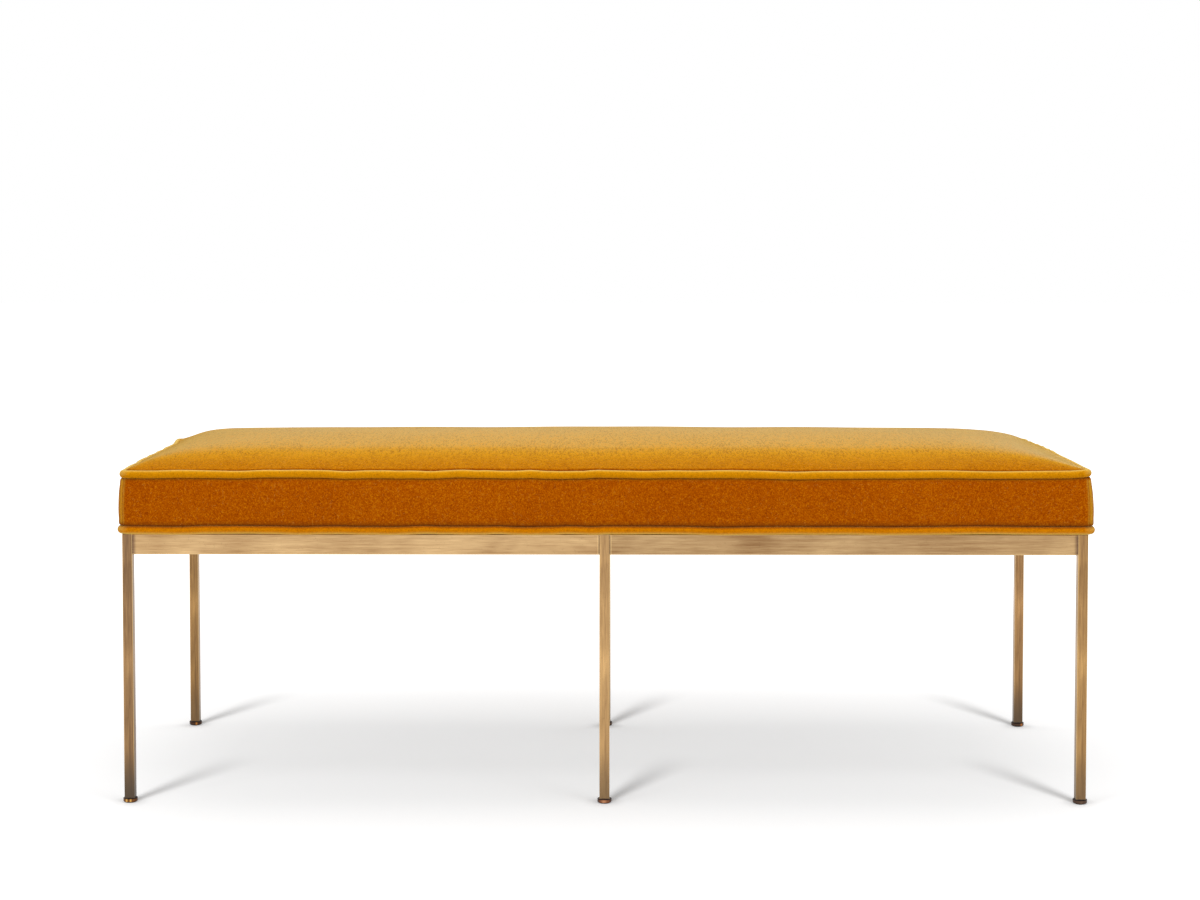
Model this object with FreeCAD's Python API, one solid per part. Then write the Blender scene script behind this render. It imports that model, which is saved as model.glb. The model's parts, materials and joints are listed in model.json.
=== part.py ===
"""Upholstered bench: a welted box cushion on a brass tube frame with six levelling feet.

Sizes are in millimetres. X runs along the bench, Y from front to rear and Z up.
The origin lies on the floor, under the middle of the bench.
"""

import FreeCAD, Part
import math
import os

# Frame, measured over the outer faces of the legs
FRAME_LENGTH = 1211.0
FRAME_DEPTH = 447.0
FRAME_TOP = 340.5
LEG_SIZE = 12.7
LEG_WALL = 1.6
RAIL_HEIGHT = 25.4
RAIL_THICKNESS = 12.1
RAIL_WALL = 1.6
TUBE_CORNER = 0.8

# Tabs welded inside the rails, and the screws that go up through them
TAB_LENGTH = 32.0
TAB_REACH = 22.0
TAB_THICKNESS = 3.0
TAB_CORNER = 4.0
TAB_HOLE = 5.5
TABS_PER_LONG_RAIL = 2
SCREW_SHANK = 4.2
SCREW_CLEARANCE = 0.05
SCREW_HEAD = 9.0
SCREW_HEAD_HEIGHT = 2.8
SCREW_BITE = 9.0

# Levelling feet, wound right in
FOOT_DIAMETER = 18.0
FOOT_HEIGHT = 5.5
FOOT_RIM_ROUND = 1.5
FOOT_TOP_ROUND = 0.5
PAD_DIAMETER = 14.0
PAD_THICKNESS = 2.0
PAD_PROUD = 0.6
PAD_CLEARANCE = 0.1
STUD_DIAMETER = 6.35
STUD_LENGTH = 24.0
STUD_SEAT = 2.2
STUD_CLEARANCE = 0.06
PLUG_HEAD = 0.8
PLUG_LENGTH = 20.0
PLUG_CLEARANCE = 0.1

# Seat layers, from the frame up
DUST_COVER = 0.6
UNDERTURN = 1.5
UNDERTURN_WIDTH = 38.0
DECK = 12.7
COVER = 2.0
BATTING = 6.0
LAYER_GAP = 0.3

# Cushion form
WELT_DIAMETER = 9.4
SIDE_OVERHANG = 4.3
END_OVERHANG = 9.0
TOP_WELT_INSET = 3.5
BOXING_HEIGHT = 68.0
BOXING_BULGE = 6.0
CORNER_RADIUS = 12.0
SHOULDER_RISE = 18.1
SHOULDER_WIDTH = 65.0
SHOULDER_CURVE = 0.5
END_SHOULDER = 1.5
CROWN_RISE = 16.2
CROWN_CORNER_GROWTH = 0.55
SIDE_SECTIONS = 5
CROWN_INSETS = [0.0, 3.0, 9.0, 18.0, 32.0, 52.0, 80.0, 120.0, 160.0]
CREST_HALF_DEPTH = 20.0

# Staples up through the dust cover and the turned-under edge, in a line past the tabs
STAPLE_CROWN = 10.0
STAPLE_WIRE = 0.8
STAPLE_LEG = 7.0
STAPLE_PITCH = 72.0
STAPLE_LINE = 4.0

# Heights and half sizes that several pieces share
RAIL_BOTTOM = FRAME_TOP - RAIL_HEIGHT
LEG_BOTTOM = FOOT_HEIGHT + PLUG_HEAD
LEG_X = FRAME_LENGTH / 2 - LEG_SIZE / 2
LEG_Y = FRAME_DEPTH / 2 - LEG_SIZE / 2
RAIL_INNER_Y = LEG_Y - RAIL_THICKNESS / 2
RAIL_INNER_X = LEG_X - RAIL_THICKNESS / 2
UNDERTURN_BOTTOM = FRAME_TOP + DUST_COVER
DECK_BOTTOM = UNDERTURN_BOTTOM + UNDERTURN
DECK_TOP = DECK_BOTTOM + DECK
WELT_RADIUS = WELT_DIAMETER / 2
LOW_WELT_Z = DECK_BOTTOM + LAYER_GAP + WELT_RADIUS
TOP_WELT_Z = LOW_WELT_Z + BOXING_HEIGHT
BATTING_INSET = COVER + LAYER_GAP
FOAM_INSET = BATTING_INSET + BATTING + LAYER_GAP
STUD_BOTTOM = FOOT_HEIGHT - STUD_SEAT

UP = FreeCAD.Vector(0, 0, 1)
LOFT_DEGREE = 3

SIDES = {"left": -1, "middle": 0, "right": 1}
ENDS = {"left": -1, "right": 1}
ROWS = {"front": -1, "rear": 1}


def point(x, y, z):
    """A point in the bench's frame."""
    return FreeCAD.Vector(x, y, z)


def box(x_range, y_range, z_range):
    """A plain block between the given limits."""
    size = [high - low for low, high in (x_range, y_range, z_range)]
    return Part.makeBox(*size, point(x_range[0], y_range[0], z_range[0]))


def rounded_outline(half_length, half_depth, radius, z):
    """A closed rounded rectangle at height z, of four lines and four quarter arcs."""
    inner_x = half_length - radius
    inner_y = half_depth - radius
    slant = radius * math.sqrt(0.5)
    corners = [(1, -1), (1, 1), (-1, 1), (-1, -1)]
    edges = []
    for turn, (side_x, side_y) in enumerate(corners):
        centre = point(side_x * inner_x, side_y * inner_y, z)
        across = point(side_x * radius, 0, 0)
        along = point(0, side_y * radius, 0)
        first, last = (along, across) if turn % 2 == 0 else (across, along)
        middle = point(side_x * slant, side_y * slant, 0)
        arc = Part.Arc(centre + first, centre + middle, centre + last)
        if edges:
            edges.append(Part.makeLine(edges[-1].Vertexes[-1].Point, centre + first))
        edges.append(arc.toShape())
    edges.append(Part.makeLine(edges[-1].Vertexes[-1].Point, edges[0].Vertexes[0].Point))
    return Part.Wire(edges)


def rounded_plate(half_length, half_depth, radius, low, high):
    """A flat plate with rounded corners, from height low to height high."""
    face = Part.Face(rounded_outline(half_length, half_depth, radius, low))
    return face.extrude(point(0, 0, high - low))


def tube(width, depth, wall, length):
    """A rectangular tube with rounded corners, standing on the origin."""
    outside = rounded_plate(width / 2, depth / 2, TUBE_CORNER, 0, length)
    inside = box((-width / 2 + wall, width / 2 - wall), (-depth / 2 + wall, depth / 2 - wall), (0, length))
    return outside.cut(inside)


def turned(profile):
    """A body turned about the Z axis from (radius, height) points and edges."""
    return Part.Face(Part.Wire(profile)).revolve(point(0, 0, 0), UP, 360)


def lofted(outlines):
    """A solid through level outlines, smooth from one to the next."""
    return Part.makeLoft(outlines, True, False, False, LOFT_DEGREE)


def at(shape, x, y, z=0.0):
    """A copy of a shape, moved."""
    copy = shape.copy()
    copy.translate(point(x, y, z))
    return copy


def leg():
    """One leg tube, from the plug's head to the top of the rails."""
    return at(tube(LEG_SIZE, LEG_SIZE, LEG_WALL, FRAME_TOP - LEG_BOTTOM), 0, 0, LEG_BOTTOM)


def rail_along_x(start, end, y):
    """A rail between two legs along the bench."""
    bar = tube(RAIL_HEIGHT, RAIL_THICKNESS, RAIL_WALL, end - start)
    bar.rotate(point(0, 0, 0), point(0, 1, 0), 90)
    return at(bar, start, y, FRAME_TOP - RAIL_HEIGHT / 2)


def rail_along_y(x):
    """A rail between a front leg and the rear leg behind it."""
    reach = LEG_Y - LEG_SIZE / 2
    bar = tube(RAIL_THICKNESS, RAIL_HEIGHT, RAIL_WALL, 2 * reach)
    bar.rotate(point(0, 0, 0), point(1, 0, 0), 90)
    return at(bar, x, reach, FRAME_TOP - RAIL_HEIGHT / 2)


def tab_places():
    """Where each tab sits: a point on a rail's inner face, and the turn that faces the tab inwards."""
    clear_start = LEG_SIZE / 2
    clear_end = LEG_X - LEG_SIZE / 2
    pitch = (clear_end - clear_start) / TABS_PER_LONG_RAIL
    places = []
    for row in ROWS.values():
        for end in ENDS.values():
            for count in range(TABS_PER_LONG_RAIL):
                x = clear_start + pitch * (count + 0.5)
                places.append((end * x, row * RAIL_INNER_Y, 0 if row < 0 else 180))
    for end in ENDS.values():
        places.append((end * RAIL_INNER_X, 0, -90 if end < 0 else 90))
    return places


def placed_on_rails(shape):
    """Copies of a shape drawn for a tab on the front rail, one at each tab's place."""
    copies = []
    for x, y, turn in tab_places():
        copy = shape.copy()
        copy.rotate(point(0, 0, 0), UP, turn)
        copy.translate(point(x, y, 0))
        copies.append(copy)
    return Part.makeCompound(copies)


def seat_tabs():
    """Plates with rounded front corners and one screw hole each, flush with the top of the rails."""
    blank = box((-TAB_LENGTH / 2, TAB_LENGTH / 2), (0, TAB_REACH), (FRAME_TOP - TAB_THICKNESS, FRAME_TOP))
    free_edges = []
    for edge in blank.Edges:
        upright = abs(edge.tangentAt(edge.FirstParameter).z) > 0.5
        if upright and edge.Vertexes[0].Y > TAB_REACH / 2:
            free_edges.append(edge)
    blank = blank.makeFillet(TAB_CORNER, free_edges)
    hole = Part.makeCylinder(TAB_HOLE / 2, TAB_THICKNESS, point(0, TAB_REACH / 2, FRAME_TOP - TAB_THICKNESS))
    return placed_on_rails(blank.cut(hole))


def screw_rods(radius, low, high):
    """Rods on the screws' axes, for their shanks and for the holes that they pass through."""
    return placed_on_rails(Part.makeCylinder(radius, high - low, point(0, TAB_REACH / 2, low)))


def seat_screws():
    """Pan-head wood screws, with their heads under the tabs and their ends in the deck."""
    head_top = FRAME_TOP - TAB_THICKNESS
    centre = point(0, TAB_REACH / 2, head_top - SCREW_HEAD_HEIGHT)
    head = Part.makeCylinder(SCREW_HEAD / 2, SCREW_HEAD_HEIGHT, centre)
    lower_rim = [edge for edge in head.Edges if edge.Closed and edge.BoundBox.ZMax < head_top - 0.1]
    head = head.makeFillet(SCREW_HEAD_HEIGHT * 0.45, lower_rim)
    shank_length = DECK_BOTTOM + SCREW_BITE - head_top
    shank = Part.makeCylinder(SCREW_SHANK / 2, shank_length, point(0, TAB_REACH / 2, head_top))
    return placed_on_rails(head.fuse(shank))


def foot_disc():
    """The turned disc: rounded rims, a recess below for the pad and a seat above for the stud."""
    outer = FOOT_DIAMETER / 2
    recess = PAD_DIAMETER / 2 + PAD_CLEARANCE
    seat = STUD_DIAMETER / 2 + STUD_CLEARANCE
    low = PAD_PROUD
    ceiling = PAD_THICKNESS
    low_round = outer - FOOT_RIM_ROUND
    high_round = outer - FOOT_TOP_ROUND
    slack = 1 - math.sqrt(0.5)
    line = Part.makeLine
    edges = [
        line(point(recess, 0, low), point(low_round, 0, low)),
        Part.Arc(
            point(low_round, 0, low),
            point(outer - FOOT_RIM_ROUND * slack, 0, low + FOOT_RIM_ROUND * slack),
            point(outer, 0, low + FOOT_RIM_ROUND),
        ).toShape(),
        line(point(outer, 0, low + FOOT_RIM_ROUND), point(outer, 0, FOOT_HEIGHT - FOOT_TOP_ROUND)),
        Part.Arc(
            point(outer, 0, FOOT_HEIGHT - FOOT_TOP_ROUND),
            point(outer - FOOT_TOP_ROUND * slack, 0, FOOT_HEIGHT - FOOT_TOP_ROUND * slack),
            point(high_round, 0, FOOT_HEIGHT),
        ).toShape(),
        line(point(high_round, 0, FOOT_HEIGHT), point(seat, 0, FOOT_HEIGHT)),
        line(point(seat, 0, FOOT_HEIGHT), point(seat, 0, STUD_BOTTOM)),
        line(point(seat, 0, STUD_BOTTOM), point(0, 0, STUD_BOTTOM)),
        line(point(0, 0, STUD_BOTTOM), point(0, 0, ceiling)),
        line(point(0, 0, ceiling), point(recess, 0, ceiling)),
        line(point(recess, 0, ceiling), point(recess, 0, low)),
    ]
    return turned(edges)


def foot_pad():
    """The floor pad pressed into the disc, with a small chamfer where it meets the floor."""
    pad = Part.makeCylinder(PAD_DIAMETER / 2, PAD_THICKNESS)
    floor_rim = [edge for edge in pad.Edges if edge.Closed and edge.BoundBox.ZMax < PAD_THICKNESS / 2]
    return pad.makeChamfer(PAD_PROUD / 2, floor_rim)


def foot_stud():
    """The levelling stud, chamfered at its top end."""
    stud = Part.makeCylinder(STUD_DIAMETER / 2, STUD_LENGTH, point(0, 0, STUD_BOTTOM))
    top_rim = [edge for edge in stud.Edges if edge.Closed and edge.BoundBox.ZMin > FOOT_HEIGHT]
    return stud.makeChamfer(STUD_DIAMETER / 10, top_rim)


def leg_plug():
    """The threaded plug: a head across the tube's end, a square body in the tube and a bore."""
    head_half = LEG_SIZE / 2
    body_half = head_half - LEG_WALL - PLUG_CLEARANCE
    head = rounded_plate(head_half, head_half, TUBE_CORNER, FOOT_HEIGHT, LEG_BOTTOM)
    body = box((-body_half, body_half), (-body_half, body_half), (LEG_BOTTOM, LEG_BOTTOM + PLUG_LENGTH))
    bore_radius = STUD_DIAMETER / 2 + STUD_CLEARANCE
    bore = Part.makeCylinder(bore_radius, PLUG_HEAD + PLUG_LENGTH, point(0, 0, FOOT_HEIGHT))
    return head.fuse(body).removeSplitter().cut(bore)


def welt_reach(share):
    """Half length and half depth of the welts' centre line, share of the way from the low welt up."""
    inset = WELT_RADIUS + TOP_WELT_INSET * share
    return FRAME_LENGTH / 2 + END_OVERHANG - inset, FRAME_DEPTH / 2 + SIDE_OVERHANG - inset


def welt(share, diameter):
    """A cord round the cushion: straight runs and quarter turns, at the low or the top welt's place."""
    half_length, half_depth = welt_reach(share)
    z = LOW_WELT_Z + BOXING_HEIGHT * share
    run_x = half_length - CORNER_RADIUS
    run_y = half_depth - CORNER_RADIUS
    radius = diameter / 2
    pieces = []
    for side in (-1, 1):
        start = point(-run_x, side * half_depth, z)
        pieces.append(Part.makeCylinder(radius, 2 * run_x, start, point(1, 0, 0)))
        start = point(side * half_length, -run_y, z)
        pieces.append(Part.makeCylinder(radius, 2 * run_y, start, point(0, 1, 0)))
    corners = [(1, 1, 0), (-1, 1, 90), (-1, -1, 180), (1, -1, 270)]
    for side_x, side_y, turn in corners:
        circle = Part.Circle(point(CORNER_RADIUS, 0, 0), point(0, 1, 0), radius)
        bend = Part.Face(Part.Wire(circle.toShape())).revolve(point(0, 0, 0), UP, 90)
        bend.rotate(point(0, 0, 0), UP, turn)
        pieces.append(at(bend, side_x * run_x, side_y * run_y, z))
    return pieces[0].fuse(pieces[1:]).removeSplitter()


def side_form(inset, top=TOP_WELT_Z):
    """The cushion's sides from the low welt up to the given height, bulging between the seams."""
    outlines = []
    for step in range(SIDE_SECTIONS):
        share = step / (SIDE_SECTIONS - 1)
        half_length, half_depth = welt_reach(share)
        out = 4 * BOXING_BULGE * share * (1 - share) - inset
        z = LOW_WELT_Z + (top - LOW_WELT_Z) * share
        radius = corner_radius(out)
        outlines.append(rounded_outline(half_length + out, half_depth + out, radius, z))
    return lofted(outlines)


def corner_radius(out):
    """The plan radius of a layer that stands out from the welts' centre line, or in where out is negative."""
    return max(CORNER_RADIUS + out, CORNER_RADIUS / 4)


def crown_height(inset):
    """How far the crown rises above the top welt's centre, inset in from it."""
    half_depth = welt_reach(1)[1]
    shoulder = 1 - min(inset / SHOULDER_WIDTH, 1)
    middle = 1 - min(inset / half_depth, 1)
    return SHOULDER_RISE * (1 - shoulder**2) ** SHOULDER_CURVE + CROWN_RISE * (1 - middle**2)


def crown_form(inset):
    """The cushion's top: a padded shoulder, wider at the ends, then a shallow crown."""
    half_length, half_depth = welt_reach(1)
    crest = half_depth - CREST_HALF_DEPTH
    steps = [step for step in CROWN_INSETS if step < crest - CREST_HALF_DEPTH / 2]
    outlines = []
    for step in steps + [crest]:
        length = half_length - step * END_SHOULDER - inset
        depth = half_depth - step - inset
        radius = min(corner_radius(-inset) + CROWN_CORNER_GROWTH * step, depth * 0.85)
        z = TOP_WELT_Z - inset + crown_height(step)
        outlines.append(rounded_outline(length, depth, radius, z))
    return lofted(outlines)


def cushion_form(inset):
    """The whole cushion drawn in by inset, standing on the deck's underside."""
    half_length, half_depth = (reach - inset for reach in welt_reach(0))
    skirt = rounded_plate(half_length, half_depth, corner_radius(-inset), DECK_BOTTOM, LOW_WELT_Z)
    return skirt.fuse([side_form(inset, TOP_WELT_Z - inset), crown_form(inset)])


def welt_room():
    """The space that the two welts take up, with the gap round them."""
    diameter = WELT_DIAMETER + 2 * LAYER_GAP
    return [welt(0, diameter), welt(1, diameter)]


def corner_centres():
    """The centre of the front right corner's round, mirrored to each corner."""
    half_length, half_depth = welt_reach(0)
    return half_length - CORNER_RADIUS, half_depth - CORNER_RADIUS


def boxing_wedge(row, end):
    """The part of plan that one boxing panel fills, cut off on the slant at its two corner seams."""
    centre_x, centre_y = corner_centres()
    far = 4 * CORNER_RADIUS
    if row:
        near = [(-centre_x, row * centre_y), (centre_x, row * centre_y)]
        out = [(centre_x + far, row * (centre_y + far)), (-centre_x - far, row * (centre_y + far))]
    else:
        near = [(end * centre_x, -centre_y), (end * centre_x, centre_y)]
        out = [(end * (centre_x + far), centre_y + far), (end * (centre_x + far), -centre_y - far)]
    plan = [point(x, y, LOW_WELT_Z) for x, y in near + out]
    return Part.Face(Part.makePolygon(plan + plan[:1])).extrude(point(0, 0, BOXING_HEIGHT))


def boxing_panels():
    """The four side panels of the cover, sewn at the corners."""
    ring = side_form(0).cut([side_form(COVER)] + welt_room())
    panels = {}
    for name, row in ROWS.items():
        panels["boxing_" + name] = ring.common(boxing_wedge(row, 0))
    for name, end in ENDS.items():
        panels["boxing_" + name] = ring.common(boxing_wedge(0, end))
    return panels


def cover_top_panel():
    """The crowned top of the cover, sewn to the boxing along the top welt."""
    return crown_form(0).cut([crown_form(COVER)] + welt_room())


def welt_rebates():
    """Square rebates that keep the batting clear of the two welts."""
    room = WELT_RADIUS + LAYER_GAP
    far = FRAME_LENGTH
    rebates = []
    for share, low in ((0, DECK_BOTTOM - room), (1, TOP_WELT_Z - room)):
        half_length, half_depth = (reach - room for reach in welt_reach(share))
        high = LOW_WELT_Z + BOXING_HEIGHT * share + room
        inside = rounded_plate(half_length, half_depth, corner_radius(-room), low, high)
        rebates.append(box((-far, far), (-far, far), (low, high)).cut(inside))
    return rebates


def batting_wrap():
    """The batting over the foam and the deck's edges, open below."""
    return cushion_form(BATTING_INSET).cut([cushion_form(BATTING_INSET + BATTING)] + welt_rebates())


def foam_core():
    """The foam block that fills the batting, flat on the deck."""
    form = cushion_form(FOAM_INSET)
    reach = FRAME_LENGTH
    return form.cut(box((-reach, reach), (-reach, reach), (0, DECK_TOP)))


def fixings():
    """The room that the screws and the staples take up above the frame."""
    pilot = screw_rods(SCREW_SHANK / 2 + SCREW_CLEARANCE, FRAME_TOP, DECK_BOTTOM + SCREW_BITE)
    return [pilot, cover_staples()]


def seat_deck():
    """The plywood board under the foam."""
    half_length, half_depth = (reach - FOAM_INSET for reach in welt_reach(0))
    board = rounded_plate(half_length, half_depth, corner_radius(-FOAM_INSET), DECK_BOTTOM, DECK_TOP)
    return board.cut(fixings())


def underturn_reach():
    """Half length and half depth of the cover's turned-under edge, just inside the low welt."""
    return (reach - WELT_RADIUS * 0.75 for reach in welt_reach(0))


def cover_underturn():
    """The cover's edge, turned under the deck."""
    half_length, half_depth = underturn_reach()
    outside = rounded_plate(half_length, half_depth, CORNER_RADIUS, UNDERTURN_BOTTOM, DECK_BOTTOM)
    hole_x = half_length - UNDERTURN_WIDTH
    hole_y = half_depth - UNDERTURN_WIDTH
    hole = box((-hole_x, hole_x), (-hole_y, hole_y), (UNDERTURN_BOTTOM, DECK_BOTTOM))
    return outside.cut([hole] + fixings())


def dust_cover():
    """The cloth that closes the underside, between the turned-under edge and the rails."""
    half_length = FRAME_LENGTH / 2 - LEG_SIZE / 2
    half_depth = FRAME_DEPTH / 2 - LEG_SIZE / 2
    return rounded_plate(half_length, half_depth, TUBE_CORNER, FRAME_TOP, UNDERTURN_BOTTOM).cut(fixings())


def staple():
    """One staple: a crown under the cloth and two legs up through it, drawn along X."""
    half = STAPLE_CROWN / 2
    low = FRAME_TOP - STAPLE_WIRE
    wire = STAPLE_WIRE / 2
    crown = box((-half, half), (-wire, wire), (low, low + STAPLE_WIRE))
    legs = []
    for side in (-1, 1):
        inner = side * (half - STAPLE_WIRE)
        outer = side * half
        limits = (min(inner, outer), max(inner, outer))
        legs.append(box(limits, (-wire, wire), (low, low + STAPLE_LEG)))
    return crown.fuse(legs).removeSplitter()


def spaced(start, end):
    """Places between two ends, evenly spaced at no more than the staple pitch."""
    count = max(math.ceil((end - start) / STAPLE_PITCH), 1)
    pitch = (end - start) / count
    return [start + pitch * (place + 0.5) for place in range(count)]


def cover_staples():
    """The staples that hold the cover's edge and the dust cover to the deck, clear of the rails."""
    inset = TAB_REACH + STAPLE_LINE
    line_x = RAIL_INNER_X - inset
    line_y = RAIL_INNER_Y - inset
    along_x = staple()
    along_y = staple()
    along_y.rotate(point(0, 0, 0), UP, 90)
    copies = []
    for end in ENDS.values():
        for x in spaced(LEG_SIZE, line_x - LEG_SIZE):
            copies.extend(at(along_x, end * x, row * line_y) for row in ROWS.values())
        for y in spaced(LEG_SIZE - line_y, line_y - LEG_SIZE):
            copies.append(at(along_y, end * line_x, y))
    return Part.makeCompound(copies)


def frame_pieces():
    """Legs, rails and tabs."""
    pieces = {}
    for row, row_side in ROWS.items():
        for place, side in SIDES.items():
            pieces[f"leg_{row}_{place}"] = at(leg(), side * LEG_X, row_side * LEG_Y)
        inner, outer = LEG_SIZE / 2, LEG_X - LEG_SIZE / 2
        pieces[f"rail_{row}_left"] = rail_along_x(-outer, -inner, row_side * LEG_Y)
        pieces[f"rail_{row}_right"] = rail_along_x(inner, outer, row_side * LEG_Y)
    pieces["rail_end_left"] = rail_along_y(-LEG_X)
    pieces["rail_end_right"] = rail_along_y(LEG_X)
    pieces["rail_cross_middle"] = rail_along_y(0)
    pieces["seat_tabs"] = seat_tabs()
    pieces["seat_screws"] = seat_screws()
    return pieces


def foot_pieces():
    """The plug, stud, disc and pad of each leg."""
    kinds = {"leg_plug": leg_plug(), "foot_stud": foot_stud(), "foot_disc": foot_disc(), "foot_pad": foot_pad()}
    pieces = {}
    for kind, shape in kinds.items():
        for row, row_side in ROWS.items():
            for place, side in SIDES.items():
                pieces[f"{kind}_{row}_{place}"] = at(shape, side * LEG_X, row_side * LEG_Y)
    return pieces


def seat_pieces():
    """The cushion, from the dust cover up."""
    pieces = {
        "dust_cover": dust_cover(),
        "cover_underturn": cover_underturn(),
        "cover_staples": cover_staples(),
        "seat_deck": seat_deck(),
        "foam_core": foam_core(),
        "batting_wrap": batting_wrap(),
        "welt_bottom": welt(0, WELT_DIAMETER),
        "welt_top": welt(1, WELT_DIAMETER),
        "cover_top_panel": cover_top_panel(),
    }
    pieces.update(boxing_panels())
    return pieces


def main():
    """Builds every piece and writes one STEP file for each."""
    os.makedirs("parts", exist_ok=True)
    for pieces in (frame_pieces(), foot_pieces(), seat_pieces()):
        for name, shape in pieces.items():
            shape.exportStep(f"parts/{name}.step")
            print(f"{name}: {len(shape.Solids)} solids, {shape.Volume / 1000:.1f} cm3, valid {shape.isValid()}")



main()
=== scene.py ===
"""The looks of a long upholstered bench on a slim brass frame, built round its CAD frame."""

import json
import logging
import math
from dataclasses import dataclass, field
from enum import Enum
from typing import Callable, Dict, List, Optional, Sequence, Tuple, Union

import bmesh
import bpy
import numpy as np
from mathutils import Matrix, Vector

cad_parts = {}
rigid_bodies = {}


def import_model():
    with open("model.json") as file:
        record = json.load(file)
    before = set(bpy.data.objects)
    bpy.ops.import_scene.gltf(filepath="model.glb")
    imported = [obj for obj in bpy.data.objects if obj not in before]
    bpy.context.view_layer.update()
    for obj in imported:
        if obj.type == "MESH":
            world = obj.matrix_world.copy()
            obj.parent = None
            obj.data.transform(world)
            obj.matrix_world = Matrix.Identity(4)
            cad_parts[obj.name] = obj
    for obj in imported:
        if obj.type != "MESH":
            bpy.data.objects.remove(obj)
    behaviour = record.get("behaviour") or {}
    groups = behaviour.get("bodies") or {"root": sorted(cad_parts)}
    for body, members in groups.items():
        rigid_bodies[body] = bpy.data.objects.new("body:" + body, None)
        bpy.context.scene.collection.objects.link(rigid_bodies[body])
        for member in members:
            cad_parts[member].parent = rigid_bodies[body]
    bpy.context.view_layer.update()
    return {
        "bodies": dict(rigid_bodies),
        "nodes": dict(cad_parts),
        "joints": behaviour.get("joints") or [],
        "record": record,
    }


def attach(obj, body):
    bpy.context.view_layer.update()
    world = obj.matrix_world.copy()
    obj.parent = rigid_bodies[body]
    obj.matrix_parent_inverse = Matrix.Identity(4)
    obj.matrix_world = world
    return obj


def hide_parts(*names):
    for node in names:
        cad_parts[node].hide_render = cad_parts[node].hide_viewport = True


LOG = logging.getLogger("bench")
MM = 0.001
BODY = "bench"
PLACES = ("front_left", "front_middle", "front_right", "rear_left", "rear_middle", "rear_right")
LEG_X = 599.15 * MM
LEG_Y = 217.15 * MM
LEG_HALF = 6.35 * MM
RAIL_MIDDLE = 327.8 * MM
FRAME_TOP = 340.5 * MM

# Which way an upright corner seam of the cushion faces in plan, without the signs
CORNER_WAY = (0.536, 0.844)

# The smallest length or gap that something is divided by
TINY = 1e-9

Pair = Tuple[float, float]
Point = Tuple[float, float, float]
Colour = Tuple[float, float, float]
Number = Union[float, "Value"]


def srgb(red: int, green: int, blue: int) -> Colour:
    """Turn a colour of 0 to 255 a channel into the linear colour that a shader takes.

    Args:
        red: The red channel.
        green: The green channel.
        blue: The blue channel.

    Returns:
        The linear colour.
    """
    def channel(value: int) -> float:
        """One channel, made linear."""
        part = value / 255
        return part / 12.92 if part <= 0.04045 else ((part + 0.055) / 1.055) ** 2.4

    return channel(red), channel(green), channel(blue)


def leg_place(place: str) -> Pair:
    """Where a leg stands in plan.

    Args:
        place: The leg's row and side, such as "front_left".

    Returns:
        Its x and y.
    """
    row, side = place.split("_")
    x = {"left": -LEG_X, "middle": 0.0, "right": LEG_X}[side]
    return x, -LEG_Y if row == "front" else LEG_Y


def hump(away: np.ndarray, width: float) -> np.ndarray:
    """A soft hump: 1 where the distance away is 0, and down to a third at the given width."""
    return np.exp(-((away / width) ** 2))


class Grain(Enum):
    """The way that a metal piece was brushed, as the stretch of its streaks along x, y and z."""

    ALONG_X = (0.03, 1.0, 1.0)
    ALONG_Y = (1.0, 0.03, 1.0)
    ALONG_Z = (1.0, 1.0, 0.03)


class Value:
    """A number that changes over a surface: one output socket of a material's nodes."""

    def __init__(self, shader: "Shader", socket: bpy.types.NodeSocket) -> None:
        """Keep the material and the socket that carries the number."""
        self.shader = shader
        self.socket = socket

    def __add__(self, other: Number) -> "Value":
        """The sum."""
        return self.shader.math("ADD", self, other)

    def __sub__(self, other: Number) -> "Value":
        """The difference."""
        return self.shader.math("SUBTRACT", self, other)

    def __mul__(self, other: Number) -> "Value":
        """The product."""
        return self.shader.math("MULTIPLY", self, other)

    def __truediv__(self, other: Number) -> "Value":
        """The quotient."""
        return self.shader.math("DIVIDE", self, other)

    def __pow__(self, other: Number) -> "Value":
        """The power."""
        return self.shader.math("POWER", self, other)

    def __radd__(self, other: Number) -> "Value":
        """The sum, from the right."""
        return self.shader.math("ADD", other, self)

    def __rsub__(self, other: Number) -> "Value":
        """The difference, from the right."""
        return self.shader.math("SUBTRACT", other, self)

    def __rmul__(self, other: Number) -> "Value":
        """The product, from the right."""
        return self.shader.math("MULTIPLY", other, self)

    def __rtruediv__(self, other: Number) -> "Value":
        """The quotient, from the right."""
        return self.shader.math("DIVIDE", other, self)

    def __abs__(self) -> "Value":
        """The size, without the sign."""
        return self.shader.math("ABSOLUTE", self)

    def least(self, other: Number) -> "Value":
        """The smaller of two numbers."""
        return self.shader.math("MINIMUM", self, other)

    def most(self, other: Number) -> "Value":
        """The larger of two numbers."""
        return self.shader.math("MAXIMUM", self, other)

    def rise(self, start: float, end: float) -> "Value":
        """A soft step from 0 at the start to 1 at the end, or down where the end is smaller.

        Args:
            start: Where the step begins.
            end: Where the step ends.

        Returns:
            The step, from 0 to 1.
        """
        low, high = (start, end) if start < end else (end, start)
        ends = (0.0, 1.0) if start < end else (1.0, 0.0)
        settings = {"interpolation_type": "SMOOTHSTEP"}
        sockets = {"Value": self, "From Min": low, "From Max": high}
        sockets.update({"To Min": ends[0], "To Max": ends[1]})
        return self.shader.node("ShaderNodeMapRange", settings, sockets)


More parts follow.
